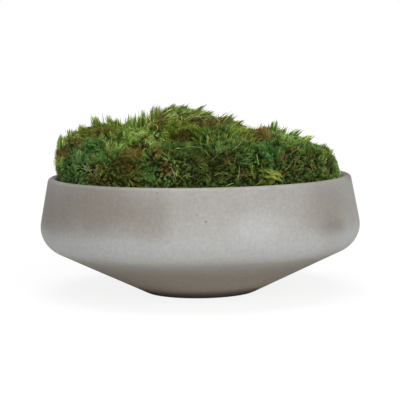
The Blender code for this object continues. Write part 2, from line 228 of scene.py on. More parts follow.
# Patches of moss in the photograph: middle and radius in pixels, how dry the moss is there, how much lighter
# or darker, the clump whose colours it has, and how high it grows. Lighter and darker is partly the moss's
# own tone and partly painted light and shade, such as the painted shade under the crown's overhang and in
# hollows
Patch = namedtuple("Patch", "across down radius dryness light kind height", defaults=(None, 1.0))
PATCHES = (
    Patch(62, 139, 7, 0.0, 0.9, "moss_centre_left"),
    Patch(61, 151, 7, 0.9, -0.2, "thatch_left"),
    Patch(72, 145, 5, 0.9, -0.3, "thatch_left"),
    Patch(76, 138, 7, 0.7, -1.0, "thatch_left", 0.9),
    Patch(91, 131, 8, 0.4, -0.5, "moss_left_back"),
    Patch(84, 129, 7, 0.2, -0.8),
    Patch(110, 127, 8, 0.3, -0.9, "moss_left_back", 0.8),
    Patch(98, 129, 7, 0.5, -0.6, "thatch_left"),
    Patch(118, 126, 7, 0.0, -0.6, "moss_left_back"),
    Patch(59, 160, 7, 0.0, 1.0, "moss_centre_left"),
    Patch(60, 172, 6, 0.0, 0.2, "moss_left_front"),
    Patch(68, 158, 7, 0.0, 1.0, "moss_left_front"),
    Patch(78, 152, 8, 0.0, 1.0, "moss_left_front", 1.3),
    Patch(92, 145, 9, 0.0, 0.0, "moss_left_front"),
    Patch(89, 138, 6, 0.0, 0.9, "moss_left_front", 1.2),
    Patch(98, 147, 8, 0.0, -0.6, "moss_left_front"),
    Patch(70, 173, 14, 0.0, 0.0, "moss_left_front"),
    Patch(83, 175, 6, 0.0, -0.4),
    Patch(100, 159, 9, 0.0, 0.5, "moss_left_front", 1.2),
    Patch(110, 141, 9, 0.1, 1.0, "moss_centre_left", 1.5),
    Patch(140, 141, 8, 0.0, 1.0, "moss_centre_left", 1.5),
    Patch(125, 143, 10, 0.0, 0.6, "moss_centre_left", 1.3),
    Patch(118, 146, 7, 0.0, 0.7, "moss_left_front", 1.2),
    Patch(124, 155, 8, 0.1, -0.8, "moss_front_left"),
    Patch(112, 153, 5, 0.0, 0.2, "moss_left_front"),
    Patch(90, 157, 7, 0.0, 0.1, "moss_left_front"),
    Patch(112, 166, 9, 0.0, 0.4, "moss_left_front"),
    Patch(144, 150, 9, 1.0, 0.1, "thatch_crown"),
    Patch(136, 152, 6, 0.9, 0.0, "thatch_crown"),
    Patch(158, 151, 6, 0.6, 0.1, "thatch_crown"),
    Patch(150, 136, 10, 0.0, 0.6, "moss_centre_left"),
    Patch(136, 130, 6, 0.0, 0.6, "moss_centre_left"),
    Patch(128, 157, 7, 0.4, -0.6, "moss_front_left"),
    Patch(102, 176, 10, 0.1, 0.7, "moss_front_left"),
    Patch(118, 174, 8, 0.0, 0.5, "moss_left_front"),
    Patch(132, 182, 7, 0.5, -0.1, "moss_front_left"),
    Patch(132, 170, 9, 0.5, 0.1, "moss_front_left"),
    Patch(150, 167, 10, 0.0, -0.4, "moss_front_centre"),
    Patch(148, 178, 10, 0.0, 0.8, "moss_left_front"),
    Patch(160, 158, 8, 0.0, 0.7),
    Patch(172, 158, 8, 0.0, 0.5),
    Patch(168, 181, 9, 0.0, 0.7, "moss_left_front"),
    Patch(190, 181, 8, 0.0, 0.3),
    Patch(270, 181, 9, 0.0, 0.4, "moss_olive"),
    Patch(167, 169, 7, 0.6, 0.1, "thatch_crown"),
    Patch(174, 129, 9, 0.0, 0.8, "moss_olive", 1.2),
    Patch(190, 128, 7, 0.0, 0.5, "moss_olive"),
    Patch(160, 136, 8, 0.0, 0.7, "moss_centre_left"),
    Patch(158, 122, 7, 0.6, -0.8),
    Patch(186, 136, 5, 0.5, -0.7, "thatch_crown"),
    Patch(170, 137, 7, 0.0, 0.5, "moss_olive"),
    Patch(186, 142, 5, 0.0, 0.5, "moss_olive", 1.2),
    Patch(210, 134, 9, 0.0, 0.5, "moss_right_front", 1.4),
    Patch(228, 134, 9, 0.0, 0.4, "moss_right_front", 1.3),
    Patch(243, 139, 8, 0.0, 0.4, height=1.4),
    Patch(204, 148, 8, 0.1, -0.9),
    Patch(202, 157, 9, 0.3, -0.8),
    Patch(203, 167, 9, 0.1, -0.7),
    Patch(165, 148, 8, 0.0, -0.9),
    Patch(180, 148, 9, 0.0, -1.0),
    Patch(196, 146, 6, 0.0, -0.8),
    Patch(175, 158, 9, 0.0, 0.3),
    Patch(188, 168, 9, 0.0, -0.2),
    Patch(222, 168, 12, 0.1, -0.5),
    Patch(241, 160, 10, 0.0, -0.4),
    Patch(238, 180, 8, 0.2, -0.3),
    Patch(238, 128, 7, 0.0, 0.7, "moss_olive"),
    Patch(251, 135, 7, 0.4, 0.6, "moss_olive", 1.3),
    Patch(264, 131, 8, 0.8, 0.2, "thatch_right"),
    Patch(277, 131, 7, 0.0, 0.8, "moss_right_back"),
    Patch(285, 137, 7, 0.0, 0.5, "moss_right_back"),
    Patch(291, 139, 8, 0.0, 0.8, "moss_right_back"),
    Patch(303, 142, 8, 0.0, 0.7, "moss_right_back"),
    Patch(263, 134, 9, 0.8, 0.2, "thatch_right"),
    Patch(293, 148, 9, 0.0, 0.2, "moss_right_front"),
    Patch(322, 149, 6, 0.0, -0.7, "moss_right_front"),
    Patch(278, 138, 7, 0.0, 0.8, "moss_right_back"),
    Patch(266, 148, 10, 0.0, -0.6, "moss_right_middle"),
    Patch(255, 158, 9, 0.0, -0.2, "moss_right_middle"),
    Patch(270, 160, 13, 0.0, -1.0, "moss_right_middle"),
    Patch(247, 173, 7, 0.2, -0.6),
    Patch(299, 160, 11, 0.1, -0.4),
    Patch(314, 157, 6, 0.3, -0.1),
    Patch(328, 152, 6, 0.0, -0.5),
    Patch(330, 167, 9, 0.0, 0.3, "moss_right_front"),
    Patch(180, 108, 10, 0.0, -0.2),
    Patch(168, 111, 5, 0.4, 0.0),
    Patch(166, 120, 6, 0.9, 0.0, "thatch_crown"),
    # Painted shade under the crown's overhang
    Patch(189, 121, 8, 0.3, -1.0, height=0.8),
    Patch(178, 119, 6, 0.3, -0.8),
    Patch(201, 113, 6, 0.0, 0.4),
    Patch(197, 120, 6, 0.3, -0.9, height=0.8),
    Patch(210, 124, 8, 0.8, -0.8, "thatch_crown", 0.8),
    Patch(223, 123, 7, 0.8, 0.0, "thatch_crown", 0.8),
    Patch(226, 116, 6, 0.0, 0.6),
    Patch(143, 120, 6, 0.0, 0.5),
    Patch(155, 114, 6, 0.0, 0.4),
    # Painted shade in a dark hollow
    Patch(152, 127, 6, 0.1, -1.0, height=0.6),
)

# The skyline of the moss below its tall tufts, in pixels of the photograph
SKYLINE = (
    (55, 152), (59, 138), (72, 133), (80, 128), (92, 125), (104, 121), (113, 122),
    (121, 127), (130, 122), (136, 129), (143, 118), (150, 121), (156, 113), (168, 108),
    (179, 104), (191, 107), (200, 111), (208, 117), (216, 118), (228, 115), (240, 123),
    (247, 127), (252, 132), (257, 128), (265, 125), (280, 129), (288, 135), (299, 134),
    (310, 142), (322, 145), (331, 151), (337, 158), (339, 169),
)

# Tall tufts on the skyline, in pixels of the photograph: where one is rooted and where its tips are
Tuft = namedtuple("Tuft", "root tip shoots radius fan growth slot")
TALL_TUFTS = (
    Tuft((63, 148), (60, 134), 16, 0.007, 0.007, "brush", "moss_bright_green"),
    Tuft((73, 138), (72, 129), 10, 0.006, 0.006, "brush", "moss_olive"),
    Tuft((84, 134), (80, 124), 10, 0.006, 0.006, "brush", "moss_olive"),
    Tuft((100, 128), (94, 115), 12, 0.006, 0.005, "spear", "moss_bright_green"),
    Tuft((110, 128), (107, 115), 10, 0.005, 0.005, "spear", "moss_olive"),
    Tuft((117, 130), (116, 118), 10, 0.005, 0.004, "spear", "moss_olive"),
    Tuft((127, 131), (125, 121), 10, 0.006, 0.005, "spear", "moss_bright_green"),
    Tuft((131, 131), (132, 114), 14, 0.007, 0.005, "brush", "moss_bright_green"),
    Tuft((143, 129), (143, 109), 16, 0.007, 0.005, "brush", "moss_bright_green"),
    Tuft((153, 127), (154, 109), 12, 0.005, 0.004, "spear", "moss_bright_green"),
    Tuft((156, 122), (157, 104), 18, 0.008, 0.006, "brush", "moss_bright_green"),
    Tuft((168, 115), (176, 104), 18, 0.007, 0.006, "shag", "moss_bright_green"),
    Tuft((178, 113), (189, 105), 18, 0.007, 0.006, "shag", "moss_bright_green"),
    Tuft((163, 119), (177, 110), 14, 0.008, 0.006, "shag", "moss_bright_green"),
    Tuft((175, 117), (191, 109), 16, 0.009, 0.006, "shag", "moss_bright_green"),
    Tuft((188, 118), (205, 112), 14, 0.008, 0.006, "shag", "moss_bright_green"),
    Tuft((190, 114), (206, 105), 5, 0.004, 0.002, "shag", "moss_olive"),
    Tuft((197, 117), (215, 111), 8, 0.005, 0.004, "shag", "moss_bright_green"),
    Tuft((200, 120), (212, 116), 14, 0.007, 0.006, "shag", "moss_bright_green"),
    Tuft((221, 122), (233, 115), 16, 0.007, 0.006, "shag", "moss_bright_green"),
    Tuft((230, 126), (241, 121), 12, 0.007, 0.005, "brush", "moss_olive"),
    Tuft((239, 130), (248, 126), 8, 0.005, 0.003, "brush", "moss_bright_green"),
    Tuft((261, 136), (263, 125), 18, 0.008, 0.008, "thatch", "brown_thatch"),
    Tuft((263, 142), (264, 131), 24, 0.010, 0.009, "thatch", "brown_thatch"),
    Tuft((216, 129), (222, 120), 14, 0.009, 0.007, "thatch", "brown_thatch"),
    Tuft((208, 127), (212, 118), 16, 0.009, 0.007, "thatch", "brown_thatch"),
    Tuft((147, 150), (147, 139), 26, 0.011, 0.009, "brush", "moss_brown_green"),
    Tuft((280, 144), (283, 134), 14, 0.008, 0.006, "brush", "moss_bright_green"),
    Tuft((296, 146), (300, 137), 14, 0.008, 0.006, "brush", "moss_bright_green"),
    Tuft((138, 144), (138, 134), 14, 0.008, 0.006, "brush", "moss_bright_green"),
    Tuft((145, 155), (145, 144), 22, 0.010, 0.009, "thatch", "brown_thatch"),
    Tuft((135, 155), (133, 146), 14, 0.009, 0.007, "thatch", "brown_thatch"),
    Tuft((160, 121), (168, 110), 9, 0.005, 0.004, "thatch", "brown_thatch"),
    Tuft((112, 147), (112, 137), 16, 0.009, 0.007, "brush", "moss_bright_green"),
    Tuft((124, 145), (126, 136), 14, 0.008, 0.006, "brush", "moss_bright_green"),
    Tuft((200, 142), (199, 134), 14, 0.008, 0.006, "feather", "moss_olive"),
    Tuft((212, 141), (213, 132), 16, 0.009, 0.008, "feather", "moss_bright_green"),
    Tuft((228, 140), (230, 131), 16, 0.009, 0.008, "feather", "moss_olive"),
    Tuft((243, 141), (245, 133), 14, 0.009, 0.008, "feather", "moss_olive"),
    Tuft((79, 160), (76, 149), 16, 0.008, 0.008, "curl", "moss_blue_green"),
    Tuft((271, 134), (275, 120), 14, 0.006, 0.004, "brush", "moss_bright_green"),
    Tuft((279, 136), (284, 127), 12, 0.006, 0.004, "brush", "moss_bright_green"),
    Tuft((288, 138), (301, 129), 11, 0.005, 0.004, "brush", "moss_bright_green"),
    Tuft((300, 143), (311, 136), 14, 0.006, 0.005, "brush", "moss_bright_green"),
    Tuft((319, 153), (324, 144), 22, 0.009, 0.004, "feather", "moss_deep_green"),
    Tuft((326, 158), (332, 149), 12, 0.005, 0.002, "feather", "moss_deep_green"),
    Tuft((331, 164), (336, 156), 10, 0.004, 0.002, "feather", "moss_deep_green"),
)

# Loose strands lie on the leaves: how far they reach in depth, how far they sink in between, in how many
# points they are laid, and how far each of those is off the line
STRAND_REACH = 0.012
STRAND_SINK = 0.003
STRAND_STEPS = 9
STRAND_KINKS = 0.0004

# Where a pixel shows no moss, the moss is looked for up to so many pixels below it
MOST_DROP = 20

# A direction that no strand runs in, from which a tube's sides are measured
ASKEW = (0.13, 0.31, 0.94)

# Loose strands: their paths in pixels of the photograph, how thick they are, and how far they stand off
# the leaves in between
Strand = namedtuple("Strand", "path thickness lift", defaults=(0.002,))
STRAWS = (
    Strand(((168, 117), (175, 116), (183, 117)), 0.0011),
    Strand(((172, 113), (176, 113), (177, 119)), 0.0010),
    Strand(((181, 116), (182, 120), (180, 125)), 0.0012),
    Strand(((183, 121), (188, 118), (193, 118)), 0.0011),
    Strand(((191, 117), (198, 117), (204, 121)), 0.0012),
    Strand(((190, 115), (199, 117), (209, 115)), 0.0011),
    Strand(((214, 117), (219, 121), (220, 129)), 0.0012),
    Strand(((151, 133), (148, 127), (152, 122)), 0.0012),
    Strand(((154, 124), (158, 128), (153, 133)), 0.0011),
    Strand(((141, 128), (146, 123), (149, 115)), 0.0006),
    Strand(((245, 128), (250, 126), (256, 130)), 0.0007),
    Strand(((129, 180), (131, 183), (133, 187)), 0.0010),
    Strand(((171, 167), (174, 175), (176, 181)), 0.0007),
    Strand(((172, 169), (177, 175), (182, 179)), 0.0007),
    Strand(((184, 166), (187, 165), (191, 166)), 0.0007),
    Strand(((183, 176), (188, 176), (193, 177)), 0.0007),
    Strand(((199, 169), (199, 172), (200, 175)), 0.0007),
    Strand(((201, 172), (203, 174), (204, 177)), 0.0007),
    Strand(((165, 164), (169, 159), (173, 154)), 0.0007),
    Strand(((287, 154), (286, 158), (287, 163)), 0.0006),
    Strand(((295, 157), (295, 161), (294, 166)), 0.0007),
    Strand(((107, 152), (110, 145), (112, 137)), 0.0007),
    Strand(((232, 150), (238, 146), (241, 140)), 0.0007),
    Strand(((214, 176), (221, 173), (228, 174)), 0.0006),
)
TWIGS = (
    Strand(((158, 120), (164, 112), (173, 107)), 0.0013),
    Strand(((159, 122), (164, 117), (170, 111)), 0.0012),
    Strand(((160, 116), (165, 110), (172, 104)), 0.0010),
    Strand(((188, 115), (198, 111), (207, 104)), 0.0012),
    Strand(((183, 122), (193, 118), (203, 121)), 0.0010),
    Strand(((206, 126), (211, 119), (219, 117)), 0.0008),
    Strand(((210, 128), (213, 121), (220, 119)), 0.0010),
    Strand(((222, 127), (228, 122), (232, 119)), 0.0011),
    Strand(((178, 137), (185, 134), (192, 137)), 0.0010),
    Strand(((138, 152), (143, 147), (146, 144)), 0.0005),
    Strand(((60, 152), (66, 146), (72, 141)), 0.0009),
)
LICHEN = (
    Strand(((82, 164), (87, 169), (92, 173)), 0.0009),
    Strand(((84, 166), (86, 170), (90, 172)), 0.0008),
    Strand(((81, 168), (84, 169), (88, 170)), 0.0006),
    Strand(((90, 172), (92, 176), (94, 183)), 0.0008),
    Strand(((88, 171), (93, 170), (99, 174)), 0.0008),
    Strand(((89, 168), (88, 165), (86, 162)), 0.0006),
    Strand(((93, 172), (96, 175), (99, 175)), 0.0005),
    Strand(((76, 159), (79, 153), (82, 151)), 0.0007),
    Strand(((76, 155), (75, 151), (77, 148)), 0.0006),
)

# Loose pieces: the strands, their finish with its pale and dark tones, and their slot
LOOSE_PIECES = (
    ("straws", STRAWS, "dry_straw", (0.56, 0.58, 0.28), (0.34, 0.32, 0.13), "brown_thatch"),
    ("twigs", TWIGS, "dark_twig", (0.100, 0.060, 0.028), (0.045, 0.030, 0.016), "brown_thatch"),
    ("lichen_sprig", LICHEN, "pale_lichen", (0.56, 0.62, 0.46), (0.36, 0.41, 0.28), "moss_blue_green"),
)

# Plumes: the main stem in pixels, how far it stands off the leaves below it, how long its own leaves are,
# how far they spread, and how many there are
Plume = namedtuple("Plume", "path lift long spread leaves")
PLUMES = (
    Plume(((293, 180), (278, 173), (258, 171)), 0.004, 0.016, 0.20, 75),
    Plume(((291, 184), (278, 178), (261, 176)), 0.003, 0.015, 0.22, 60),
    Plume(((254, 187), (260, 183), (265, 179)), 0.003, 0.012, 0.12, 8),
    Plume(((256, 179), (252, 170), (253, 163)), 0.003, 0.004, 0.90, 34),
)

# Moss colours, as linear values: old leaves, grown leaves, young tips and dry leaves, and the share of the
# tufts that is dry
Skin = namedtuple("Skin", "old grown tip dry dry_share")
SKINS = {
    "moss_deep_green": Skin(
        old=(0.020, 0.032, 0.006),
        grown=(0.078, 0.150, 0.026),
        tip=(0.280, 0.430, 0.110),
        dry=(0.220, 0.130, 0.036),
        dry_share=0.04,
    ),
    "moss_blue_green": Skin(
        old=(0.020, 0.048, 0.010),
        grown=(0.080, 0.225, 0.044),
        tip=(0.300, 0.500, 0.160),
        dry=(0.220, 0.140, 0.040),
        dry_share=0.03,
    ),
    "moss_bright_green": Skin(
        old=(0.048, 0.068, 0.010),
        grown=(0.175, 0.305, 0.046),
        tip=(0.560, 0.720, 0.225),
        dry=(0.320, 0.200, 0.050),
        dry_share=0.05,
    ),
    "moss_olive": Skin(
        old=(0.055, 0.064, 0.008),
        grown=(0.175, 0.245, 0.022),
        tip=(0.360, 0.430, 0.080),
        dry=(0.280, 0.165, 0.040),
        dry_share=0.08,
    ),
    "moss_brown_green": Skin(
        old=(0.048, 0.045, 0.008),
        grown=(0.135, 0.165, 0.024),
        tip=(0.300, 0.360, 0.075),
        dry=(0.250, 0.145, 0.038),
        dry_share=0.20,
    ),
    "brown_thatch": Skin(
        old=(0.050, 0.028, 0.009),
        grown=(0.190, 0.115, 0.032),
        tip=(0.400, 0.280, 0.090),
        dry=(0.240, 0.125, 0.036),
        dry_share=0.45,
    ),
}

# The yellow plumes' colours, and the green that all the mosses share in patches
PLUME_SKIN = Skin(
    old=(0.080, 0.088, 0.011),
    grown=(0.175, 0.205, 0.026),
    tip=(0.340, 0.380, 0.075),
    dry=(0.250, 0.190, 0.045),
    dry_share=0.0,
)
SHARED_GREEN = (0.085, 0.155, 0.024)

# A leaf: where on its stem the first one stands, where it bends, and how wide it is at its foot against
# its middle
FIRST_LEAF = 0.08
LEAF_BEND = 0.45
LEAF_FOOT = 0.6

# The waves round the moss's edge: how many there are, how far a metre of height shifts them, where they
# start, and how much of the bulging each makes
EDGE_WAVES = ((7, 55, 0.0, 0.55), (19, -110, 1.3, 0.45))

# The values that each point of a leaf carries: its age along the shoot, its tint and how dry it is
LEAF_VALUES = ("growth", "tint", "dryness")


def unit(vectors):
    """Vectors at length 1."""
    return vectors / np.maximum(np.linalg.norm(vectors, axis=-1, keepdims=True), 1e-12)


# Node trees


def fill_sockets(tree, node, inputs):
    """Gives a node its inputs, which are (name or number, value or socket) pairs."""
    for key, value in inputs:
        if isinstance(value, bpy.types.NodeSocket):
            tree.links.new(value, node.inputs[key])
        else:
            node.inputs[key].default_value = value


def add_node(tree, kind, inputs=(), **settings):
    """A node with its settings and its inputs."""
    made = tree.nodes.new(kind)
    for name, value in settings.items():
        setattr(made, name, value)
    fill_sockets(tree, made, inputs)
    return made


def maths(tree, operation, *values):
    """The result of a math node."""
    return add_node(tree, "ShaderNodeMath", list(enumerate(values)), operation=operation).outputs[0]


def vector_maths(tree, operation, *values):
    """The results of a vector math node."""
    return add_node(tree, "ShaderNodeVectorMath", list(enumerate(values)), operation=operation).outputs


def scaled_colour(tree, tone, light):
    """A colour made lighter or darker by a number."""
    inputs = [("Vector", tone), ("Scale", light)]
    return add_node(tree, "ShaderNodeVectorMath", inputs, operation="SCALE").outputs[0]


def mixed_colour(tree, share, first, second):
    """One colour turning into another as share goes from 0 to 1."""
    inputs = [(0, share), (6, first), (7, second)]
    return add_node(tree, "ShaderNodeMix", inputs, data_type="RGBA").outputs[2]


def tinted(tree, tone, mask, strength, values):
    """A tone turned towards a colour where a mask shows, as far as a strength says."""
    return mixed_colour(tree, maths(tree, "MULTIPLY", mask, strength), tone, colour(values))


def eased(tree, value, start, end, low=0.0, high=1.0):
    """A value taken smoothly from low to high while it goes from start to end."""
    inputs = [("Value", value), ("From Min", start), ("From Max", end), ("To Min", low), ("To Max", high)]
    made = add_node(tree, "ShaderNodeMapRange", inputs, interpolation_type="SMOOTHSTEP")
    return made.outputs["Result"]


def colour(values):
    """A linear colour with full cover."""
    return (*values, 1.0)


def object_places(tree):
    """Where on the object a point lies, in metres."""
    return add_node(tree, "ShaderNodeTexCoord").outputs["Object"]


def soft_noise(tree, places, scale, detail):
    """A soft noise, from 0 to 1."""
    inputs = [("Vector", places), ("Scale", scale), ("Detail", detail)]
    return add_node(tree, "ShaderNodeTexNoise", inputs).outputs["Fac"]


# The kinds of socket
NUMBER, COLOUR, VECTOR = "NodeSocketFloat", "NodeSocketColor", "NodeSocketVector"


def new_group(name, inputs, outputs):
    """An empty node group, its inputs with their usual values: a number, a place, or None for a colour."""
    tree = bpy.data.node_groups.new(name, "ShaderNodeTree")
    for socket, value in inputs.items():
        kind = COLOUR if value is None else VECTOR if isinstance(value, tuple) else NUMBER
        made = tree.interface.new_socket(name=socket, in_out="INPUT", socket_type=kind)
        if value is not None:
            made.default_value = value
    for socket, kind in outputs.items():
        tree.interface.new_socket(name=socket, in_out="OUTPUT", socket_type=kind)
    return tree, tree.nodes.new("NodeGroupInput").outputs, tree.nodes.new("NodeGroupOutput").inputs


def placed_group(tree, group, **inputs):
    """The results of a node group placed with its own values. An underscore stands for a space."""
    made = tree.nodes.new("ShaderNodeGroup")
    made.node_tree = group
    fill_sockets(tree, made, [(name.replace("_", " "), value) for name, value in inputs.items()])
    return made.outputs


def build_patches():
    """Soft ragged patches: a mask that is 1 inside a patch and 0 between them."""
    usual = {"Scale": 12.0, "Seed": 0.0, "Level": 0.5, "Softness": 0.12, "Detail": 4.0}
    tree, given, result = new_group("soft_patches", usual, {"Mask": NUMBER})
    inputs = [("Vector", object_places(tree)), ("W", given["Seed"]), ("Scale", given["Scale"])]
    inputs += [("Detail", given["Detail"]), ("Roughness", 0.6)]
    wave = add_node(tree, "ShaderNodeTexNoise", inputs, noise_dimensions="4D").outputs["Fac"]
    low = maths(tree, "SUBTRACT", given["Level"], given["Softness"])
    high = maths(tree, "ADD", given["Level"], given["Softness"])
    tree.links.new(eased(tree, wave, low, high), result["Mask"])
    return tree


def build_grain():
    """Fine grains, as in cast sand or crumbled soil, as a height from 0 to 1."""
    tree, given, result = new_group("fine_grain", {"Grain": 900.0, "Coarse Share": 0.4}, {"Height": NUMBER})
    places = object_places(tree)
    fine = soft_noise(tree, places, given["Grain"], 3.0)
    cells = [("Vector", places), ("Scale", maths(tree, "MULTIPLY", given["Grain"], 0.3))]
    coarse = add_node(tree, "ShaderNodeTexVoronoi", cells).outputs["Distance"]
    inputs = [(0, given["Coarse Share"]), (2, fine), (3, coarse)]
    tree.links.new(add_node(tree, "ShaderNodeMix", inputs, data_type="FLOAT").outputs[0], result["Height"])
    return tree


def build_spot():
    """One soft-edged spot round a place: 1 in its middle, and 0 past its half sizes."""
    usual = {"Place": (0, 0, 0), "Half Sizes": (0.05, 0.05, 0.05), "Raggedness": 0.35}
    tree, given, result = new_group("soft_spot", usual, {"Mask": NUMBER})
    places = object_places(tree)
    away = vector_maths(tree, "SUBTRACT", places, given["Place"])[0]
    share = vector_maths(tree, "DIVIDE", away, given["Half Sizes"])[0]
    reach = vector_maths(tree, "LENGTH", share)["Value"]
    wave = maths(tree, "SUBTRACT", soft_noise(tree, places, 28.0, 4.0), 0.5)
    edge = maths(tree, "ADD", reach, maths(tree, "MULTIPLY", wave, given["Raggedness"]))
    tree.links.new(eased(tree, edge, 0.15, 1.0, 1.0, 0.0), result["Mask"])
    return tree


def build_leaf_tone(patches):
    """A leaf's colour by its age along the shoot, its shoot's own tint, and how dry it is."""
    colours = {"Old": None, "Grown": None, "Tip": None, "Dry": None}
    tree, given, result = new_group("leaf_tone", colours, {"Colour": COLOUR, "Roughness": NUMBER})
    growth, tint, dryness = (
        add_node(tree, "ShaderNodeAttribute", attribute_name=name).outputs["Fac"] for name in LEAF_VALUES
    )
    green = mixed_colour(tree, eased(tree, growth, 0.05, 0.50), given["Old"], given["Grown"])
    lively = eased(tree, tint, 0.15, 0.95, 0.20, 1.0)
    young = maths(tree, "MULTIPLY", eased(tree, growth, 0.50, 1.05), lively)
    green = mixed_colour(tree, young, green, given["Tip"])
    shared = placed_group(tree, patches, Scale=21.0, Seed=5.0, Softness=0.14)["Mask"]
    green = tinted(tree, green, shared, 0.55, SHARED_GREEN)
    drift = placed_group(tree, patches, Scale=26.0, Seed=3.0, Softness=0.16)["Mask"]
    own_light = eased(tree, tint, 0.1, 0.9, 0.38, 1.62)
    light = maths(tree, "ADD", own_light, maths(tree, "MULTIPLY", drift, 0.26))
    whole = mixed_colour(tree, dryness, scaled_colour(tree, green, light), given["Dry"])
    tree.links.new(whole, result["Colour"])
    tree.links.new(eased(tree, dryness, 0.0, 1.0, 0.52, 0.8), result["Roughness"])
    return tree


def new_material(name, **settings):
    """A material's tree and its shader, with plain values on the shader's own sockets."""
    made = bpy.data.materials.new(name)
    made.use_nodes = True
    shader = made.node_tree.nodes["Principled BSDF"]
    for socket, value in settings.items():
        shader.inputs[socket.replace("_", " ")].default_value = value
    return made, made.node_tree, shader


def bumped(tree, shader, height, distance, strength=1.0):
    """Feeds a height to the shader's normal."""
    inputs = [("Height", height), ("Distance", distance), ("Strength", strength)]
    made = add_node(tree, "ShaderNodeBump", inputs)
    tree.links.new(made.outputs["Normal"], shader.inputs["Normal"])


# Soil colours, as linear values
SOIL_DARK = (0.018, 0.012, 0.007)
SOIL_PALE = (0.070, 0.045, 0.026)
SOIL_MOIST = (0.030, 0.020, 0.010)

# Soft spots on the bowl: place and half sizes in metres, and how strong each is. First the darker patches,
# broadest over the left of the front wall, then the pores
ToneSpot = namedtuple("ToneSpot", "place half_sizes strength")
DARKER_PATCHES = (
    ToneSpot((-0.150, -0.175, 0.140), (0.170, 0.150, 0.062), 0.85),
    ToneSpot((-0.215, -0.070, 0.125), (0.060, 0.140, 0.052), 0.70),
    ToneSpot((-0.062, -0.215, 0.122), (0.044, 0.050, 0.044), 0.45),
    ToneSpot((0.180, -0.140, 0.093), (0.038, 0.060, 0.036), 1.00),
    ToneSpot((0.207, -0.020, 0.167), (0.014, 0.085, 0.012), 0.85),
    ToneSpot((0.180, -0.140, 0.135), (0.085, 0.100, 0.060), 0.60),
    ToneSpot((0.060, 0.215, 0.130), (0.120, 0.090, 0.060), 0.75),
    ToneSpot((-0.150, 0.160, 0.120), (0.100, 0.100, 0.060), 0.70),
)
PORES = (
    ToneSpot((0.0076, -0.2241, 0.1233), (0.0022, 0.0050, 0.0014), 0.80),
    ToneSpot((-0.0039, -0.2225, 0.1324), (0.0014, 0.0050, 0.0020), 0.60),
    ToneSpot((-0.0554, -0.2100, 0.1605), (0.0015, 0.0050, 0.0020), 0.65),
)
# A painted highlight on the front of the wall, where the key light falls most
PAINTED_HIGHLIGHT = ToneSpot((0.078, -0.215, 0.110), (0.060, 0.060, 0.040), 0.8)
CONCRETE_LIGHT = (0.400, 0.392, 0.375)
CONCRETE_DARK = (0.240, 0.208, 0.180)
# The pale tone of the painted highlight, and of the painted reflection round the shoulder
PAINTED_SHEEN_TONE = (0.445, 0.452, 0.450)
CONCRETE_CONE = (0.325, 0.298, 0.250)
CONCRETE_FOOT = (0.520, 0.440, 0.370)
# The painted contact shadow along the bottom of the foot
PAINTED_CONTACT_SHADE = (0.120, 0.100, 0.080)
CONCRETE_LIP = (0.330, 0.318, 0.298)
CONCRETE_PORE = (0.050, 0.044, 0.036)

# Heights in metres between which the outside turns to the tones of the cone and the foot, and to a painted
# contact shadow at the foot's bottom edge
CONCRETE_LEVELS = (
    (0.072, 0.050, CONCRETE_CONE),
    (0.046, 0.014, CONCRETE_FOOT),
    (0.018, 0.003, PAINTED_CONTACT_SHADE),
)

# The pale band round the shoulder, a painted reflection of the pale floor: its height, and how far from that
# it fades, outside these radii
SHOULDER_HEIGHT = 0.083
SHOULDER_FADE = (0.003, 0.026)
SHOULDER_RADII = (0.190, 0.205)

# The duller line on the lip's outer rounding: its radius, how far from that it fades, and from what height
LIP_LINE_RADIUS = 0.2052
LIP_LINE_FADE = (0.0006, 0.0030)
LIP_LINE_HEIGHTS = (0.160, 0.164)

# The fine streaks, as shares of the angle round the bowl and of the height, so that they run upright
STREAK_SHARES = (0.21, 0.12)

# How light the concrete is, and how much its streaks, its grain and its mottling add to that
CONCRETE_SHADE = 0.810
SHADE_STRENGTHS = (0.12, 0.11, 0.14)

# The scattered small pores: cells in a metre, their edge's start and end in the cell, and which cells
PORE_CELLS = 34.0
PORE_EDGE = (0.020, 0.036)
PORE_CHOICE = (0.80, 0.84)


def spotted(tree, tone, spot, rows, values, **inputs):
    """A tone with soft spots of a colour on it."""
    for row in rows:
        mask = placed_group(tree, spot, Place=row.place, Half_Sizes=row.half_sizes, **inputs)["Mask"]
        tone = tinted(tree, tone, mask, row.strength, values)
    return tone


def zoned(tree, tone, radius, height):
    """A tone with the shoulder's painted reflection, the cone and foot levels with a painted contact shadow,
    and the lip line.
    """
    away = maths(tree, "ABSOLUTE", maths(tree, "SUBTRACT", height, SHOULDER_HEIGHT))
    band = eased(tree, away, *SHOULDER_FADE, 1.0, 0.0)
    band = maths(tree, "MULTIPLY", band, eased(tree, radius, *SHOULDER_RADII))
    # Paints the pale floor's reflection onto the shoulder
    tone = tinted(tree, tone, band, 0.75, PAINTED_SHEEN_TONE)
    for start, end, values in CONCRETE_LEVELS:
        tone = mixed_colour(tree, eased(tree, height, start, end), tone, colour(values))
    away = maths(tree, "ABSOLUTE", maths(tree, "SUBTRACT", radius, LIP_LINE_RADIUS))
    line = eased(tree, away, *LIP_LINE_FADE, 1.0, 0.0)
    line = maths(tree, "MULTIPLY", line, eased(tree, height, *LIP_LINE_HEIGHTS))
    return tinted(tree, tone, line, 0.7, CONCRETE_LIP)


def sanded(tree, tone, fine, mottle, angle, height):
    """A tone broken up by upright streaks, fine grain and mottling."""
    around = maths(tree, "MULTIPLY", angle, STREAK_SHARES[0])
    upward = maths(tree, "MULTIPLY", height, STREAK_SHARES[1])
    places = add_node(tree, "ShaderNodeCombineXYZ", [(0, around), (1, upward)]).outputs[0]
    light = CONCRETE_SHADE
    for share, strength in zip((soft_noise(tree, places, 420.0, 2.0), fine, mottle), SHADE_STRENGTHS):
        light = maths(tree, "ADD", light, maths(tree, "MULTIPLY", share, strength))
    return scaled_colour(tree, tone, light)


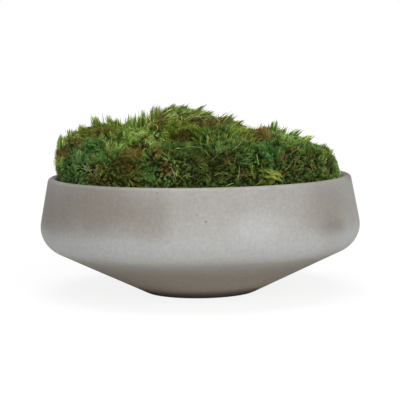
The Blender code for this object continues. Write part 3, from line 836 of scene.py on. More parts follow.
def cast_concrete(patches, grain, spot):
    """Warm grey cast concrete: brown clouds, painted reflection on the shoulder, painted highlight on the
    front, sandy grain and pores.
    """
    made, tree, shader = new_material("cast_concrete", Specular_IOR_Level=0.42)
    places = object_places(tree)
    across, back, height = add_node(tree, "ShaderNodeSeparateXYZ", [(0, places)]).outputs
    squares = [maths(tree, "MULTIPLY", side, side) for side in (across, back)]
    radius = maths(tree, "SQRT", maths(tree, "ADD", *squares))
    clouds = placed_group(tree, patches, Scale=9.0, Seed=1.0, Level=0.52, Softness=0.20)["Mask"]
    tone = tinted(tree, colour(CONCRETE_LIGHT), clouds, 0.34, CONCRETE_DARK)
    tone = spotted(tree, tone, spot, DARKER_PATCHES, CONCRETE_DARK)
    # Paints the key light's highlight onto the front of the wall
    tone = spotted(tree, tone, spot, (PAINTED_HIGHLIGHT,), PAINTED_SHEEN_TONE)
    tone = zoned(tree, tone, radius, height)
    fine = placed_group(tree, grain, Grain=850.0, Coarse_Share=0.35)["Height"]
    mottle = placed_group(tree, patches, Scale=230.0, Seed=6.0, Softness=0.22, Detail=2.0)["Mask"]
    tone = sanded(tree, tone, fine, mottle, maths(tree, "ARCTAN2", across, back), height)
    cells = add_node(tree, "ShaderNodeTexVoronoi", [("Vector", places), ("Scale", PORE_CELLS)]).outputs
    number = add_node(tree, "ShaderNodeSeparateColor", [(0, cells["Color"])]).outputs[0]
    holes = eased(tree, cells["Distance"], *PORE_EDGE, 1.0, 0.0)
    holes = maths(tree, "MULTIPLY", holes, eased(tree, number, *PORE_CHOICE))
    tone = mixed_colour(tree, holes, tone, colour(CONCRETE_PORE))
    tone = spotted(tree, tone, spot, PORES, CONCRETE_PORE, Raggedness=0.0)
    tree.links.new(tone, shader.inputs["Base Color"])
    tree.links.new(eased(tree, fine, 0.2, 0.8, 0.46, 0.62), shader.inputs["Roughness"])
    relief = maths(tree, "SUBTRACT", maths(tree, "MULTIPLY", fine, 0.30), maths(tree, "MULTIPLY", holes, 2.5))
    bumped(tree, shader, relief, 0.0004, 0.7)
    return made


def potting_soil(grain, patches):
    """Dark crumbled soil."""
    made, tree, shader = new_material("potting_soil", Roughness=0.95, Specular_IOR_Level=0.2)
    crumbs = placed_group(tree, grain, Grain=260.0, Coarse_Share=0.6)["Height"]
    moist = placed_group(tree, patches, Scale=30.0, Seed=2.0)["Mask"]
    tone = mixed_colour(tree, eased(tree, crumbs, 0.25, 0.75), colour(SOIL_DARK), colour(SOIL_PALE))
    tree.links.new(tinted(tree, tone, moist, 0.5, SOIL_MOIST), shader.inputs["Base Color"])
    bumped(tree, shader, crumbs, 0.003)
    return made


def moss_leaf(name, skin, leaf_tone):
    """A leaf's finish in one of the moss colours."""
    made, tree, shader = new_material(name + "_leaf", Specular_IOR_Level=0.18)
    colours = {key: colour(getattr(skin, key.lower())) for key in ("Old", "Grown", "Tip", "Dry")}
    tone = placed_group(tree, leaf_tone, **colours)
    tree.links.new(tone["Colour"], shader.inputs["Base Color"])
    tree.links.new(tone["Roughness"], shader.inputs["Roughness"])
    return made


def dry_strand(name, pale, dark, patches):
    """A dry stalk's finish, darker in places along it."""
    made, tree, shader = new_material(name, Roughness=0.6, Specular_IOR_Level=0.3)
    worn = placed_group(tree, patches, Scale=120.0, Seed=4.0, Softness=0.2)["Mask"]
    tree.links.new(mixed_colour(tree, worn, colour(pale), colour(dark)), shader.inputs["Base Color"])
    return made


def moss_cushion(name, skin, patches, grain):
    """The old matted stems under the shoots."""
    made, tree, shader = new_material(name + "_matting", Roughness=0.9, Specular_IOR_Level=0.15)
    stems = placed_group(tree, grain, Grain=420.0, Coarse_Share=0.5)["Height"]
    brown = placed_group(tree, patches, Scale=45.0, Seed=8.0, Softness=0.15)["Mask"]
    dark = colour(0.45 * value for value in skin.old)
    tone = mixed_colour(tree, eased(tree, stems, 0.2, 0.8), dark, colour(skin.old))
    tone = tinted(tree, tone, brown, 0.45, [0.35 * value for value in skin.dry])
    tree.links.new(tone, shader.inputs["Base Color"])
    bumped(tree, shader, stems, 0.002)
    return made


# Meshes


def mesh_piece(name, points, triangles, material, values=(), smooth=True):
    """An object from triangles, with named values kept at its points."""
    mesh = bpy.data.meshes.new(name)
    mesh.vertices.add(len(points))
    mesh.vertices.foreach_set("co", np.asarray(points, np.float32).ravel())
    mesh.loops.add(3 * len(triangles))
    mesh.loops.foreach_set("vertex_index", np.asarray(triangles, np.int32).ravel())
    mesh.polygons.add(len(triangles))
    mesh.polygons.foreach_set("loop_start", np.arange(0, 3 * len(triangles), 3, dtype=np.int32))
    mesh.update(calc_edges=True)
    mesh.validate()
    if smooth:
        mesh.shade_smooth()
    for key, numbers in values:
        kept = mesh.attributes.new(key, "FLOAT", "POINT")
        kept.data.foreach_set("value", np.asarray(numbers, np.float32))
    mesh.materials.append(material)
    made = bpy.data.objects.new(name, mesh)
    bpy.context.scene.collection.objects.link(made)
    return made


def faces_of_each(faces, corners, count):
    """The faces of one shape, for each of many that have so many corners."""
    return (corners * np.arange(count)[:, None, None] + np.array(faces)).reshape(-1, 3)


def along_curve(share, start, bend, end):
    """Points at shares of the way along a curve, which a bend draws aside."""
    return (1 - share) ** 2 * start + 2 * share * (1 - share) * bend + share**2 * end


def joined(parts):
    """Several (points, triangles, values) sets as one, where values is a row of numbers a point."""
    points, triangles, values = zip(*parts)
    starts = np.cumsum([0] + [len(some) for some in points[:-1]])
    triangles = [some + start for some, start in zip(triangles, starts)]
    return np.concatenate(points), np.concatenate(triangles), np.concatenate(values)


# Bowl


def arc(centre, radius, start, end, steps):
    """Points on an arc in the (radius, height) plane, both ends included, angles in radians."""
    angles = np.linspace(start, end, steps + 1)
    return [(centre[0] + radius * math.cos(a), centre[1] + radius * math.sin(a)) for a in angles]


def shoulder_centre():
    """The centre of the shoulder's arc, which the cone below it meets without a corner."""
    radius = BOWL_DIAMETER / 2 - SHOULDER_RADIUS
    rise = (radius - FOOT_RADIUS) * math.sin(CONE_SLOPE) + SHOULDER_RADIUS
    return radius, rise / math.cos(CONE_SLOPE)


def wall_radius(height, inset):
    """Radius of the upper wall at a height, measured inset metres inside the outer face."""
    centre = shoulder_centre()
    face = centre[0] + (SHOULDER_RADIUS - inset) / math.cos(WALL_LEAN)
    return face - (height - centre[1]) * math.tan(WALL_LEAN)


def lip_centre(inset, side):
    """The centre of one of the lip's two rounded edges: side is 1 outside and -1 inside."""
    height = BOWL_HEIGHT - LIP_EDGE_RADIUS
    return wall_radius(height, inset) - side * LIP_EDGE_RADIUS / math.cos(WALL_LEAN), height


def filled_in(section, step):
    """A section with its long straight runs cut into steps."""
    fine = [section[0]]
    for start, end in zip(section, section[1:]):
        count = max(1, round(math.dist(start, end) / step))
        fine += [tuple(np.array(start) + (np.array(end) - start) * k / count) for k in range(1, count + 1)]
    return fine


def bowl_section():
    """Up the outer face from the foot, over the lip and down the inner face to the axis."""
    down = -math.pi / 2
    foot_run = FOOT_EDGE_RADIUS * math.tan(CONE_SLOPE / 2)
    foot = (FOOT_RADIUS - foot_run, FOOT_EDGE_RADIUS)
    centre = shoulder_centre()
    floor_rise = (WALL_THICKNESS / math.cos(CONE_SLOPE) - FLOOR_THICKNESS) / math.tan(CONE_SLOPE)
    floor_run = FLOOR_EDGE_RADIUS * math.tan(CONE_SLOPE / 2)
    floor = (FOOT_RADIUS - floor_rise - floor_run, FLOOR_THICKNESS + FLOOR_EDGE_RADIUS)
    section = [(0, 0)]
    section += arc(foot, FOOT_EDGE_RADIUS, down, down + CONE_SLOPE, steps=4)
    section += arc(centre, SHOULDER_RADIUS, down + CONE_SLOPE, WALL_LEAN, steps=20)
    section += arc(lip_centre(0, 1), LIP_EDGE_RADIUS, WALL_LEAN, math.pi / 2, steps=8)
    inner_lip = lip_centre(WALL_THICKNESS, -1)
    section += arc(inner_lip, LIP_EDGE_RADIUS, math.pi / 2, math.pi + WALL_LEAN, steps=8)
    section += arc(centre, SHOULDER_RADIUS - WALL_THICKNESS, WALL_LEAN, down + CONE_SLOPE, steps=6)
    section += arc(floor, FLOOR_EDGE_RADIUS, down + CONE_SLOPE, down, steps=2)
    section += [(0, FLOOR_THICKNESS)]
    return filled_in(section, SECTION_STEP)


def turned_bowl(finish):
    """The bowl with fine sides, and the slight unevenness of a cast surface."""
    section = bowl_section()
    rings = np.array(section[1:-1])
    angles = 2 * math.pi * np.arange(BOWL_SIDES) / BOWL_SIDES
    around = np.stack((np.cos(angles), np.sin(angles)), axis=-1)
    points = np.empty((len(rings), BOWL_SIDES, 3))
    points[..., :2] = rings[:, 0, None, None] * around
    points[..., 2] = rings[:, 1, None]
    flat = points.reshape(-1, 3)
    for point in flat:
        if point[2] > FOOT_EDGE_RADIUS:
            wave = noise.noise(Vector(point) * CASTING_WAVE)
            point[:2] *= 1 + CASTING_WOBBLE * wave / math.hypot(point[0], point[1])
    flat = np.concatenate((flat, [(0, 0, section[0][1]), (0, 0, section[-1][1])]))
    triangles = []
    k = np.arange(BOWL_SIDES)
    after = (k + 1) % BOWL_SIDES
    for ring in range(len(rings) - 1):
        low, high = ring * BOWL_SIDES, (ring + 1) * BOWL_SIDES
        triangles.append(np.stack((low + k, low + after, high + after), axis=-1))
        triangles.append(np.stack((low + k, high + after, high + k), axis=-1))
    last = (len(rings) - 1) * BOWL_SIDES
    bottom, top = len(flat) - 2, len(flat) - 1
    triangles.append(np.stack((np.full(BOWL_SIDES, bottom), after, k), axis=-1))
    triangles.append(np.stack((np.full(BOWL_SIDES, top), last + k, last + after), axis=-1))
    made = mesh_piece("bowl_casting", flat, np.concatenate(triangles), finish)
    made.data.set_sharp_from_angle(angle=SHARP_ANGLE)
    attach(made, "root")
    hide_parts("bowl")


# Reading the frame's moss solids


def welded_surface(node):
    """A solid's points, each once, and its triangles."""
    mesh = node.data
    mesh.calc_loop_triangles()
    places = np.empty(3 * len(mesh.vertices), np.float32)
    mesh.vertices.foreach_get("co", places)
    places = places.reshape(-1, 3).astype(float)
    corners = np.empty(3 * len(mesh.loop_triangles), np.int32)
    mesh.loop_triangles.foreach_get("vertices", corners)
    steps = np.round(places / WELD).astype(np.int64)
    first, welded = np.unique(steps, axis=0, return_index=True, return_inverse=True)[1:]
    return places[first], welded.reshape(-1)[corners.reshape(-1, 3)]


Net = namedtuple("Net", "points triangles tips")


def face_normals(corners):
    """Each face's normal, whose length is twice the face's area."""
    return np.cross(corners[:, 1] - corners[:, 0], corners[:, 2] - corners[:, 0])


def bare_net(node):
    """A clump's surface without its shoots, and each face's shoot tip, or not-a-number without one.

    A shoot's tip is a point where only three triangles meet. It stands on a face of the net, or on
    a narrow ring of three points that does.
    """
    points, triangles = welded_surface(node)
    around = [set() for _ in points]
    for triangle in triangles.tolist():
        for corner in triangle:
            around[corner].update(triangle)
    bases, tips, gone = [], [], set()
    for tip, near in enumerate(around):
        if len(near) != 4:
            continue
        ring = near - {tip}
        beyond = set().union(*(around[corner] for corner in ring)) - near
        base = beyond if len(beyond) == 3 else ring
        gone |= {tip} | (ring if len(beyond) == 3 else set())
        base = sorted(base)
        corners = points[base]
        facing = face_normals(corners[None])[0] @ (points[tip] - corners.mean(axis=0))
        bases.append(base if facing > 0 else base[::-1])
        tips.append(points[tip])
    plain = [t for t in triangles.tolist() if not gone & set(t)]
    tips = np.array(tips + [(math.nan,) * 3] * len(plain))
    return Net(points, np.array(bases + plain), tips)


def sky_over(points, normals, tree):
    """For each point the share of the sky that it sees, and the middle of what it sees."""
    step = np.arange(SKY_DIRECTIONS) + 0.5
    height = SKY_LOW + SKY_SPAN * step / SKY_DIRECTIONS
    angle = GOLDEN_ANGLE * step
    level = np.sqrt(1 - height**2)
    ways = np.stack((level * np.cos(angle), level * np.sin(angle), height), axis=-1)
    looks = [Vector(way) for way in ways]
    seen = (normals @ ways.T) > 0.05
    starts = points + 0.001 * normals
    for row, start in enumerate(starts):
        start = Vector(start)
        for column in np.nonzero(seen[row])[0]:
            if tree.ray_cast(start, looks[column], SKY_REACH)[0] is not None:
                seen[row, column] = False
    return seen.mean(axis=1), unit(seen @ ways + 1e-6 * normals)


def scattered(net, spacing, random):
    """Points spread over a net's faces, and the normals there."""
    corners = net.points[net.triangles]
    normals = face_normals(corners)
    areas = np.linalg.norm(normals, axis=1) / 2
    counts = np.floor(areas / spacing**2 + random.random(len(areas))).astype(int)
    faces = np.repeat(np.arange(len(areas)), counts)
    one, two = random.random((2, len(faces)))
    over = one + two > 1
    one[over], two[over] = 1 - one[over], 1 - two[over]
    first, second, third = corners[faces].transpose(1, 0, 2)
    points = first + one[:, None] * (second - first) + two[:, None] * (third - first)
    return points, unit(normals)[faces]


# Growing the shoots


def mouth_radius():
    """Radius of the opening, at the bottom of the lip's inner rounding."""
    return wall_radius(BOWL_HEIGHT - LIP_EDGE_RADIUS, WALL_THICKNESS)


def edge_wave(points):
    """How far the moss bulges and draws in round its edge, which is rounded towards the top."""
    angle = np.arctan2(points[:, 1], points[:, 0])
    waves = 0
    for count, twist, start, part in EDGE_WAVES:
        waves = waves + part * np.sin(count * angle + twist * points[:, 2] + start)
    rise = np.maximum(points[:, 2] - BOWL_HEIGHT, 0) / EDGE_TOP
    return EDGE_WAVE * waves - EDGE_ROUNDNESS * rise**2


def above_lip(points):
    """How far each point is clear of the lip: 0 at its height and 1 well above it."""
    return np.clip((points[:, 2] - BOWL_HEIGHT - LIP_AIR) / EDGE_RISE, 0, 1)


def kept_off_bowl(points, over, margin=0.0, knee=EDGE_KNEE):
    """Points eased inside the mouth, and up to over metres past it where they are clear of the lip.

    They end margin metres short of that, and the easing starts a knee before the end.
    """
    radius = np.hypot(points[:, 0], points[:, 1])
    clear = above_lip(points)
    reach = mouth_radius() - WALL_AIR - margin + clear * (over + WALL_AIR + edge_wave(points))
    eased_in = reach - knee * np.exp(-np.maximum(radius - reach + knee, 0) / knee)
    held = points.copy()
    held[:, :2] *= np.where(radius > reach - knee, eased_in / np.maximum(radius, 1e-9), 1)[:, None]
    return held


def turned_in(points, ways, spans, over, sweep):
    """Directions turned to run along the mouth, where a span that way would end outside it."""
    radius = np.hypot(points[:, 0], points[:, 1])
    outward = np.zeros_like(points)
    outward[:, :2] = points[:, :2] / np.maximum(radius, 1e-9)[:, None]
    clear = above_lip(points)
    room = (mouth_radius() - WALL_AIR - TIP_MARGIN + clear * (over + edge_wave(points)) - radius) / spans
    run = (ways * outward).sum(axis=1)
    held = np.minimum(run, np.clip(room, -MOST_TURN, 1))
    across = sweep - (sweep * outward).sum(axis=1)[:, None] * outward
    along = ways - run[:, None] * outward + SWEEP_SHARE * across
    turned = unit(along) * np.sqrt(1 - held**2)[:, None] + held[:, None] * outward
    return np.where((run > held)[:, None], turned, ways)


def over_skyline(points, margin=0.0):
    """How many metres each point stands above the skyline, or less than nothing where it is below."""
    across, down = picture_place(points)
    return (np.interp(across, *zip(*SKYLINE)) + margin - down) * PIXEL


def pressed(net):
    """A net and its shoot tips pressed down to where the skyline leaves room for the leaves."""
    points, tips = net.points.copy(), net.tips.copy()
    points[:, 2] -= np.maximum(over_skyline(points, LEAF_ROOM), 0)
    tips[:, 2] -= np.maximum(np.nan_to_num(over_skyline(tips), nan=0), 0)
    return Net(points, net.triangles, tips)


Shoots = namedtuple("Shoots", "roots tips bends sides tint dryness youth size")


def axis_points(shoots, share):
    """Points along each shoot's curved stem and the way that it runs there, at shares of its length."""
    share = share[..., None]
    root, bend, tip = (ends[:, None, :] for ends in (shoots.roots, shoots.bends, shoots.tips))
    ways = 2 * (1 - share) * (bend - root) + 2 * share * (tip - bend)
    return along_curve(share, root, bend, tip), unit(ways)


def cross_axes(ways, random):
    """Two directions at right angles to each way, turned at random."""
    loose = random.normal(size=(len(ways), 1, 3))
    first = unit(np.cross(ways, loose))
    return first, np.cross(ways, first)


def leaf_values(growth, tint, dryness):
    """A row of values for each point."""
    return np.stack(np.broadcast_arrays(growth, tint, dryness), axis=-1).reshape(-1, 3)


def leaves_on(shoots, growth, random):
    """The leaves: each a narrow blade, bent at its middle, set spirally round the stem."""
    count = len(shoots.roots)
    order = np.arange(growth.leaves)
    share = FIRST_LEAF + (1 - FIRST_LEAF) * (order + random.random((count, growth.leaves))) / growth.leaves
    share = np.clip(share, 0, 1)
    places, ways = axis_points(shoots, share)
    first, second = cross_axes(ways, random)
    turn = GOLDEN_ANGLE * order + random.uniform(0, 2 * math.pi, (count, 1))
    turn = (turn + random.normal(0, 0.3, share.shape))[..., None]
    outward = first * np.cos(turn) + second * np.sin(turn)
    spread = growth.low_spread + (growth.high_spread - growth.low_spread) * share
    spread = np.radians(spread * random.uniform(0.7, 1.3, share.shape))[..., None]
    start = ways * np.cos(spread) + outward * np.sin(spread)
    ending = start + growth.hook * ways + growth.sweep * shoots.sides[:, None, :]
    ending = unit(ending + random.normal(0, 0.14, start.shape))
    length = growth.length * shoots.size[:, None] * random.uniform(0.65, 1.15, share.shape)
    length = length * (1.0 - 0.2 * share**3)
    width = growth.width * random.uniform(0.75, 1.2, share.shape)
    half = (width / 2)[..., None] * unit(np.cross(start, outward + random.normal(0, 0.5, start.shape)))
    foot = LEAF_FOOT * half
    middle = places + start * (LEAF_BEND * length)[..., None]
    end = middle + ending * ((1 - LEAF_BEND) * length)[..., None]
    corners = np.stack((places - foot, places + foot, middle - half, middle + half, end), axis=2)
    triangles = faces_of_each([(0, 1, 3), (0, 3, 2), (2, 3, 4)], 5, count * growth.leaves)
    along = np.array((0.0, 0.0, 0.14, 0.14, 0.32))
    grown = (0.80 * share[..., None] + along) * (0.82 + 0.36 * shoots.youth[:, None, None])
    tint = np.clip(0.55 * shoots.tint[:, None] + 0.45 * random.random(share.shape), 0, 1)
    dry = np.clip(shoots.dryness[:, None] * random.uniform(0.5, 1.4, share.shape), 0, 1)
    return corners.reshape(-1, 3), triangles, leaf_values(grown, tint[..., None], dry[..., None])


def stems_on(shoots, thickness, random):
    """The stems: three-sided, tapering to a point at the tip."""
    count = len(shoots.roots)
    share = np.tile((0.0, 0.55, 1.0), (count, 1))
    places, ways = axis_points(shoots, share)
    first, second = (axis[:, :2] for axis in cross_axes(ways, random))
    turns = [2 * math.pi * k / 3 for k in range(3)]
    sides = [places[:, :2] + thickness / 2 * (first * math.cos(t) + second * math.sin(t)) for t in turns]
    corners = np.concatenate([np.stack(sides, axis=2).reshape(count, 6, 3), places[:, 2:]], axis=1)
    faces = []
    for k in range(3):
        after = (k + 1) % 3
        faces += [(k, after, 3 + after), (k, 3 + after, 3 + k), (3 + k, 3 + after, 6)]
    grown = np.tile((0.0, 0.0, 0.0, 0.30, 0.30, 0.30, 0.8), (count, 1))
    dry = np.clip(shoots.dryness[:, None] + 0.25, 0, 1)
    values = leaf_values(grown, shoots.tint[:, None], dry)
    return corners.reshape(-1, 3), faces_of_each(faces, 7, count), values


# How many points a blade has
BLADE_POINTS = 9


def ribbons(starts, bends, ends, widths, random):
    """Narrow blades along curves, four steps long and pointed at the end."""
    share = np.array((0.0, 0.3, 0.6, 0.85, 1.0))[:, None]
    places = along_curve(share, starts[:, None, :], bends[:, None, :], ends[:, None, :])
    ways = unit(ends - starts)
    side = unit(np.cross(ways, random.normal(size=ways.shape)))[:, None, :]
    half = side * (widths[:, None] / 2 * np.array((0.6, 1.0, 0.9, 0.6)))[:, :, None]
    body = np.stack((places[:, :4] - half, places[:, :4] + half), axis=2).reshape(len(starts), 8, 3)
    points = np.concatenate((body, places[:, 4:]), axis=1)
    faces = [(2 * k, 2 * k + 1, 2 * k + 3) for k in range(3)]
    faces += [(2 * k, 2 * k + 3, 2 * k + 2) for k in range(3)] + [(6, 7, 8)]
    return points.reshape(-1, 3), faces_of_each(faces, BLADE_POINTS, len(starts))


def blade_values(count, growth, tint, dryness, random):
    """Values for blades, each drawn between two limits. A blade drawn under 0 has the value 0."""
    drawn = [random.uniform(*limits, count) for limits in (growth, tint, dryness)]
    return np.repeat(np.stack(drawn, axis=-1).clip(0), BLADE_POINTS, axis=0)


def combed(points):
    """The way in which the moss is swept at each point, as if by slow eddies."""
    return np.array([noise.noise_vector(Vector(point) * COMB_WAVE) for point in points])


def loose_blades(net, clump, random):
    """Long dead leaves and stems that lie over the shoots."""
    points, normals = scattered(net, BLADE_SPACING, random)
    count = len(points)
    swing = clump.comb + clump.wild * 2.4 * combed(points) + random.normal(0, 0.35, points.shape)
    along = laid_along(unit(swing), normals)
    long = random.uniform(0.004, 0.011, count)[:, None]
    lift = random.uniform(0.004, 0.010, (3, count, 1))
    starts = points + lift[0] * normals - long * along
    bends = points + 1.4 * lift[1] * normals + random.normal(0, 0.002, points.shape)
    ends = points + lift[2] * normals + long * along
    low = np.maximum.reduce([over_skyline(places) for places in (starts, bends, ends)]) < 0
    starts, bends, ends, count = starts[low], bends[low], ends[low], low.sum()
    points, triangles = ribbons(starts, bends, ends, random.uniform(*BLADE_WIDTHS, count), random)
    return points, triangles, blade_values(count, (0.3, 1.0), (0.2, 1.0), (-0.6, 0.8), random)


def laid_along(ways, normals):
    """Directions turned to lie along the surface."""
    return unit(ways - (ways * normals).sum(axis=1, keepdims=True) * normals)


def tufts_of(net, clump, tree, random):
    """Where a clump's tufts stand, how far and which way each rises, and which way its leaves sweep.

    Each shoot of the frame's solid carries one, and the others fill the ground between them.
    """
    corners = net.points[net.triangles]
    middles = corners.mean(axis=1)
    rises = net.tips - middles
    borne = ~np.isnan(rises[:, 0])
    given, middles, faces = rises[borne], middles[borne], unit(face_normals(corners))[borne]
    long = np.linalg.norm(given, axis=1, keepdims=True)
    points, normals = scattered(net, TUFT_SPACING, random)
    far = np.linalg.norm(points[:, None] - middles[None], axis=2).min(axis=1) > 0.6 * TUFT_SPACING
    points, normals = points[far], normals[far]
    sky, open_way = sky_over(points, normals, tree)
    bases, grounds = np.concatenate((middles, points)), np.concatenate((faces, normals))
    swing = unit(clump.comb + clump.wild * (2.4 * combed(bases) + random.normal(0, 0.28, bases.shape)))
    sweep = unit(laid_along(swing, grounds) + 0.25 * grounds)
    ways = 0.50 * normals + 0.60 * open_way + clump.lie * sweep[len(given) :]
    ways = unit(ways + random.normal(0, 0.15, points.shape))
    rise = float(np.median(long)) * (1.15 - 0.45 * sky) * random.uniform(0.6, 1.3, len(points))
    given = long * unit(given / long + 0.50 * clump.lie * sweep[: len(given)])
    return bases, np.concatenate((given, rise[:, None] * ways)), sweep


def away_from(spot, across, down, back):
    """How far points are from a patch, in pixels. Its depth counts less than its width."""
    place, patch = spot
    depth = (back - place[1]) / (PATCH_DEPTH * PIXEL)
    return np.sqrt((across - patch.across) ** 2 + (down - patch.down) ** 2 + depth**2)


def patched(tops, spots):
    """How dry and how light the moss is at each shoot's top, and how high it grows, by the patches there.

    A spot is a patch with its place on the moss, and it ends some way in front of that and behind.
    """
    dry, light, height = np.zeros(len(tops)), np.zeros(len(tops)), np.ones(len(tops))
    across, down = picture_place(tops)
    for spot in spots:
        patch = spot[1]
        share = np.clip(1.5 - away_from(spot, across, down, tops[:, 1]) / patch.radius, 0, 1)
        dry = np.maximum(dry, patch.dryness * share)
        light += patch.light * share
        height *= 1 + (patch.height - 1) * share
    return dry, np.clip(light, -1, 1), height


def patch_kinds(tops, spots, random):
    """For each shoot the clump whose colours its patch has, or none: the patches' edges are ragged."""
    across, down = picture_place(tops)
    across = across + random.normal(0, 2.5, len(tops))
    down = down + random.normal(0, 2.0, len(tops))
    kinds = [None] * len(tops)
    for spot in spots:
        patch = spot[1]
        if patch.kind:
            for row in np.nonzero(away_from(spot, across, down, tops[:, 1]) < patch.radius)[0]:
                kinds[row] = patch.kind
    return kinds


# What all the clumps grow on: the bare surface of moss, soil and bowl, the number of the clump that has
# each of its faces, or -1, the patches' places on it, and the clumps' names
Ground = namedtuple("Ground", "tree owners spots names")


def moss_ground(nets):
    """The ground that the shoots grow on."""
    solids = [(net.points, net.triangles) for net in nets.values()]
    solids += [welded_surface(frame["nodes"][name]) for name in ("bowl", "soil")]
    points, triangles, _ = joined([(points, faces, points) for points, faces in solids])
    owners = np.concatenate([np.full(len(faces), number) for number, (_, faces) in enumerate(solids)])
    owners[owners >= len(nets)] = -1
    tree = BVHTree.FromPolygons(points.tolist(), triangles.tolist())
    spots = [(met_below(patch.across, patch.down + LEAF_DROP, tree), patch) for patch in PATCHES]
    return Ground(tree, owners, spots, list(nets))


def shoot_tones(tuft, count, light, dry, sky, dry_share, random):
    """How light, how dry and how young each shoot is. The shoots of one tuft are partly alike."""
    shoots = len(tuft)
    tint = 0.6 * random.random(count)[tuft] + 0.4 * random.random(shoots)
    parched = (random.random(count) < dry_share) * random.uniform(0.4, 0.9, count)
    dry = dry * random.uniform(0.4, 1.2, shoots)
    parched = parched[tuft] * random.uniform(0.5, 1.1, shoots)
    dry = np.maximum(dry, parched) + 0.30 * np.clip(0.40 - sky, 0, 1)
    youth = 0.25 * (random.random(count)[tuft] + random.random(shoots))
    # The patches' lighter and darker values, partly painted light and shade, make shoots lighter and
    # younger-looking, or darker and older
    return (np.clip(tone, 0, 1) for tone in (tint + 0.40 * light, dry, youth + 0.7 * light))


def shoots_of(net, clump, skin, ground, random):
    """Where a clump's shoots stand, lean and end, and how large the leaves on each are."""
    growth = GROWTHS[clump.growth]
    points, normals = scattered(net, SHOOT_SPACING, random)
    sky, _ = sky_over(points, normals, ground.tree)
    kept = sky > LEAST_SKY
    points, normals, sky = points[kept], normals[kept], sky[kept]
    bases, rises, sweep = tufts_of(net, clump, ground.tree, random)
    tuft = np.argmin(np.linalg.norm(points[:, None] - bases[None], axis=2), axis=1)
    away, rise, swept = points - bases[tuft], rises[tuft], sweep[tuft]
    outer = np.clip(np.linalg.norm(away, axis=1) / TUFT_RADIUS, 0, 1)
    share = (1.0 - 0.35 * outer) * random.uniform(0.70, 1.08, len(points))
    loose = random.random(len(points)) < LOOSE_SHARE
    dry, light, height = patched(points + share[:, None] * rise, ground.spots)
    span = np.linalg.norm(rise, axis=1) * share * height * np.where(loose, 1.2, 1)
    size = np.clip(span / (1.20 * growth.length), 0.42, 1.0) * random.uniform(0.85, 1.05, len(points))
    size = np.where(loose, 1.15 * size, size)
    stem = np.maximum(span - 0.80 * growth.length * size, 0.20 * span)
    roots = kept_off_bowl(points - SINK * normals, clump.over, ROOT_MARGIN, ROOT_MARGIN)
    way = unit(unit(rise) + random.normal(0, 0.24, rise.shape) * np.where(loose, 3, 1)[:, None])
    way = turned_in(points, way, span, clump.over, swept)
    most = -over_skyline(points) / np.maximum(way[:, 2], 0.35) - 0.85 * growth.length * size
    stem = np.minimum(stem, np.maximum(most, LEAST_STEM))
    tips = points + way * stem[:, None] - growth.gather * share[:, None] * away
    tips = kept_off_bowl(tips, clump.over, TIP_MARGIN, ROOT_MARGIN)
    long = np.linalg.norm(tips - roots, axis=1)[:, None]
    bends = roots + 0.5 * long * unit(0.6 * normals + 0.5 * way + random.normal(0, 0.15, way.shape))
    sides = unit(swept + random.normal(0, 0.28, way.shape))
    tones = shoot_tones(tuft, len(bases), light, dry, sky, skin.dry_share, random)
    return Shoots(roots, tips, bends, sides, *tones, size)


def strayed(number, shoots, growth, ground, random):
    """For each shoot the clump whose colours it takes: the borders wander, and a few shoots stray."""
    chosen = np.full(len(shoots.roots), number)
    leafy = 0.4 * growth.length * shoots.size[:, None] * unit(shoots.tips - shoots.bends)
    kinds = patch_kinds(shoots.tips + leafy, ground.spots, random)
    for row, root in enumerate(shoots.roots):
        place = Vector(root)
        loose = Vector(random.normal(0, 0.26, 3))
        slow, quick = (noise.noise_vector(place * wave) for wave in (BORDER_WAVE, 3 * BORDER_WAVE))
        face = ground.tree.find_nearest(place + STRAY_REACH * (slow + 0.5 * quick + loose))[2]
        if kinds[row]:
            chosen[row] = ground.names.index(kinds[row])
        elif ground.owners[face] >= 0:
            chosen[row] = ground.owners[face]
    return chosen


def finer(net, over):
    """A net's faces each cut in four, a little lower and further in, and uneven by a noise."""
    points = [Vector(p) for p in net.points]
    middle = {}

    def between(one, two):
        """The number of the point halfway between two others."""
        key = (min(one, two), max(one, two))
        if key not in middle:
            points.append((points[one] + points[two]) / 2)
            middle[key] = len(points) - 1
        return middle[key]

    triangles = []
    for one, two, three in net.triangles.tolist():
        a, b, c = between(one, two), between(two, three), between(three, one)
        triangles += [(one, a, c), (a, two, b), (c, b, three), (a, b, c)]
    used = sorted({corner for triangle in triangles for corner in triangle})
    number = {corner: new for new, corner in enumerate(used)}
    lumps = [CUSHION_LUMP * noise.noise_vector(points[corner] * CUSHION_WAVE) for corner in used]
    moved = np.array([points[corner] + lump for corner, lump in zip(used, lumps)])
    moved = kept_off_bowl(moved - (0, 0, CUSHION_DROP), over, CUSHION_MARGIN, CUSHION_MARGIN)
    return moved, np.array([[number[c] for c in t] for t in triangles])


def moss_cushions(nets, slots, finishes):
    """Each clump's cushion of old stems, under its shoots."""
    for name, net in nets.items():
        points, triangles = finer(net, CLUMPS[name].over)
        made = mesh_piece(name + "_cushion", points, triangles, finishes[slots[name], "matting"])
        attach(made, "root")
        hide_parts(name)


def picked(shoots, rows):
    """Some of the shoots."""
    return Shoots(*(values[rows] for values in shoots))


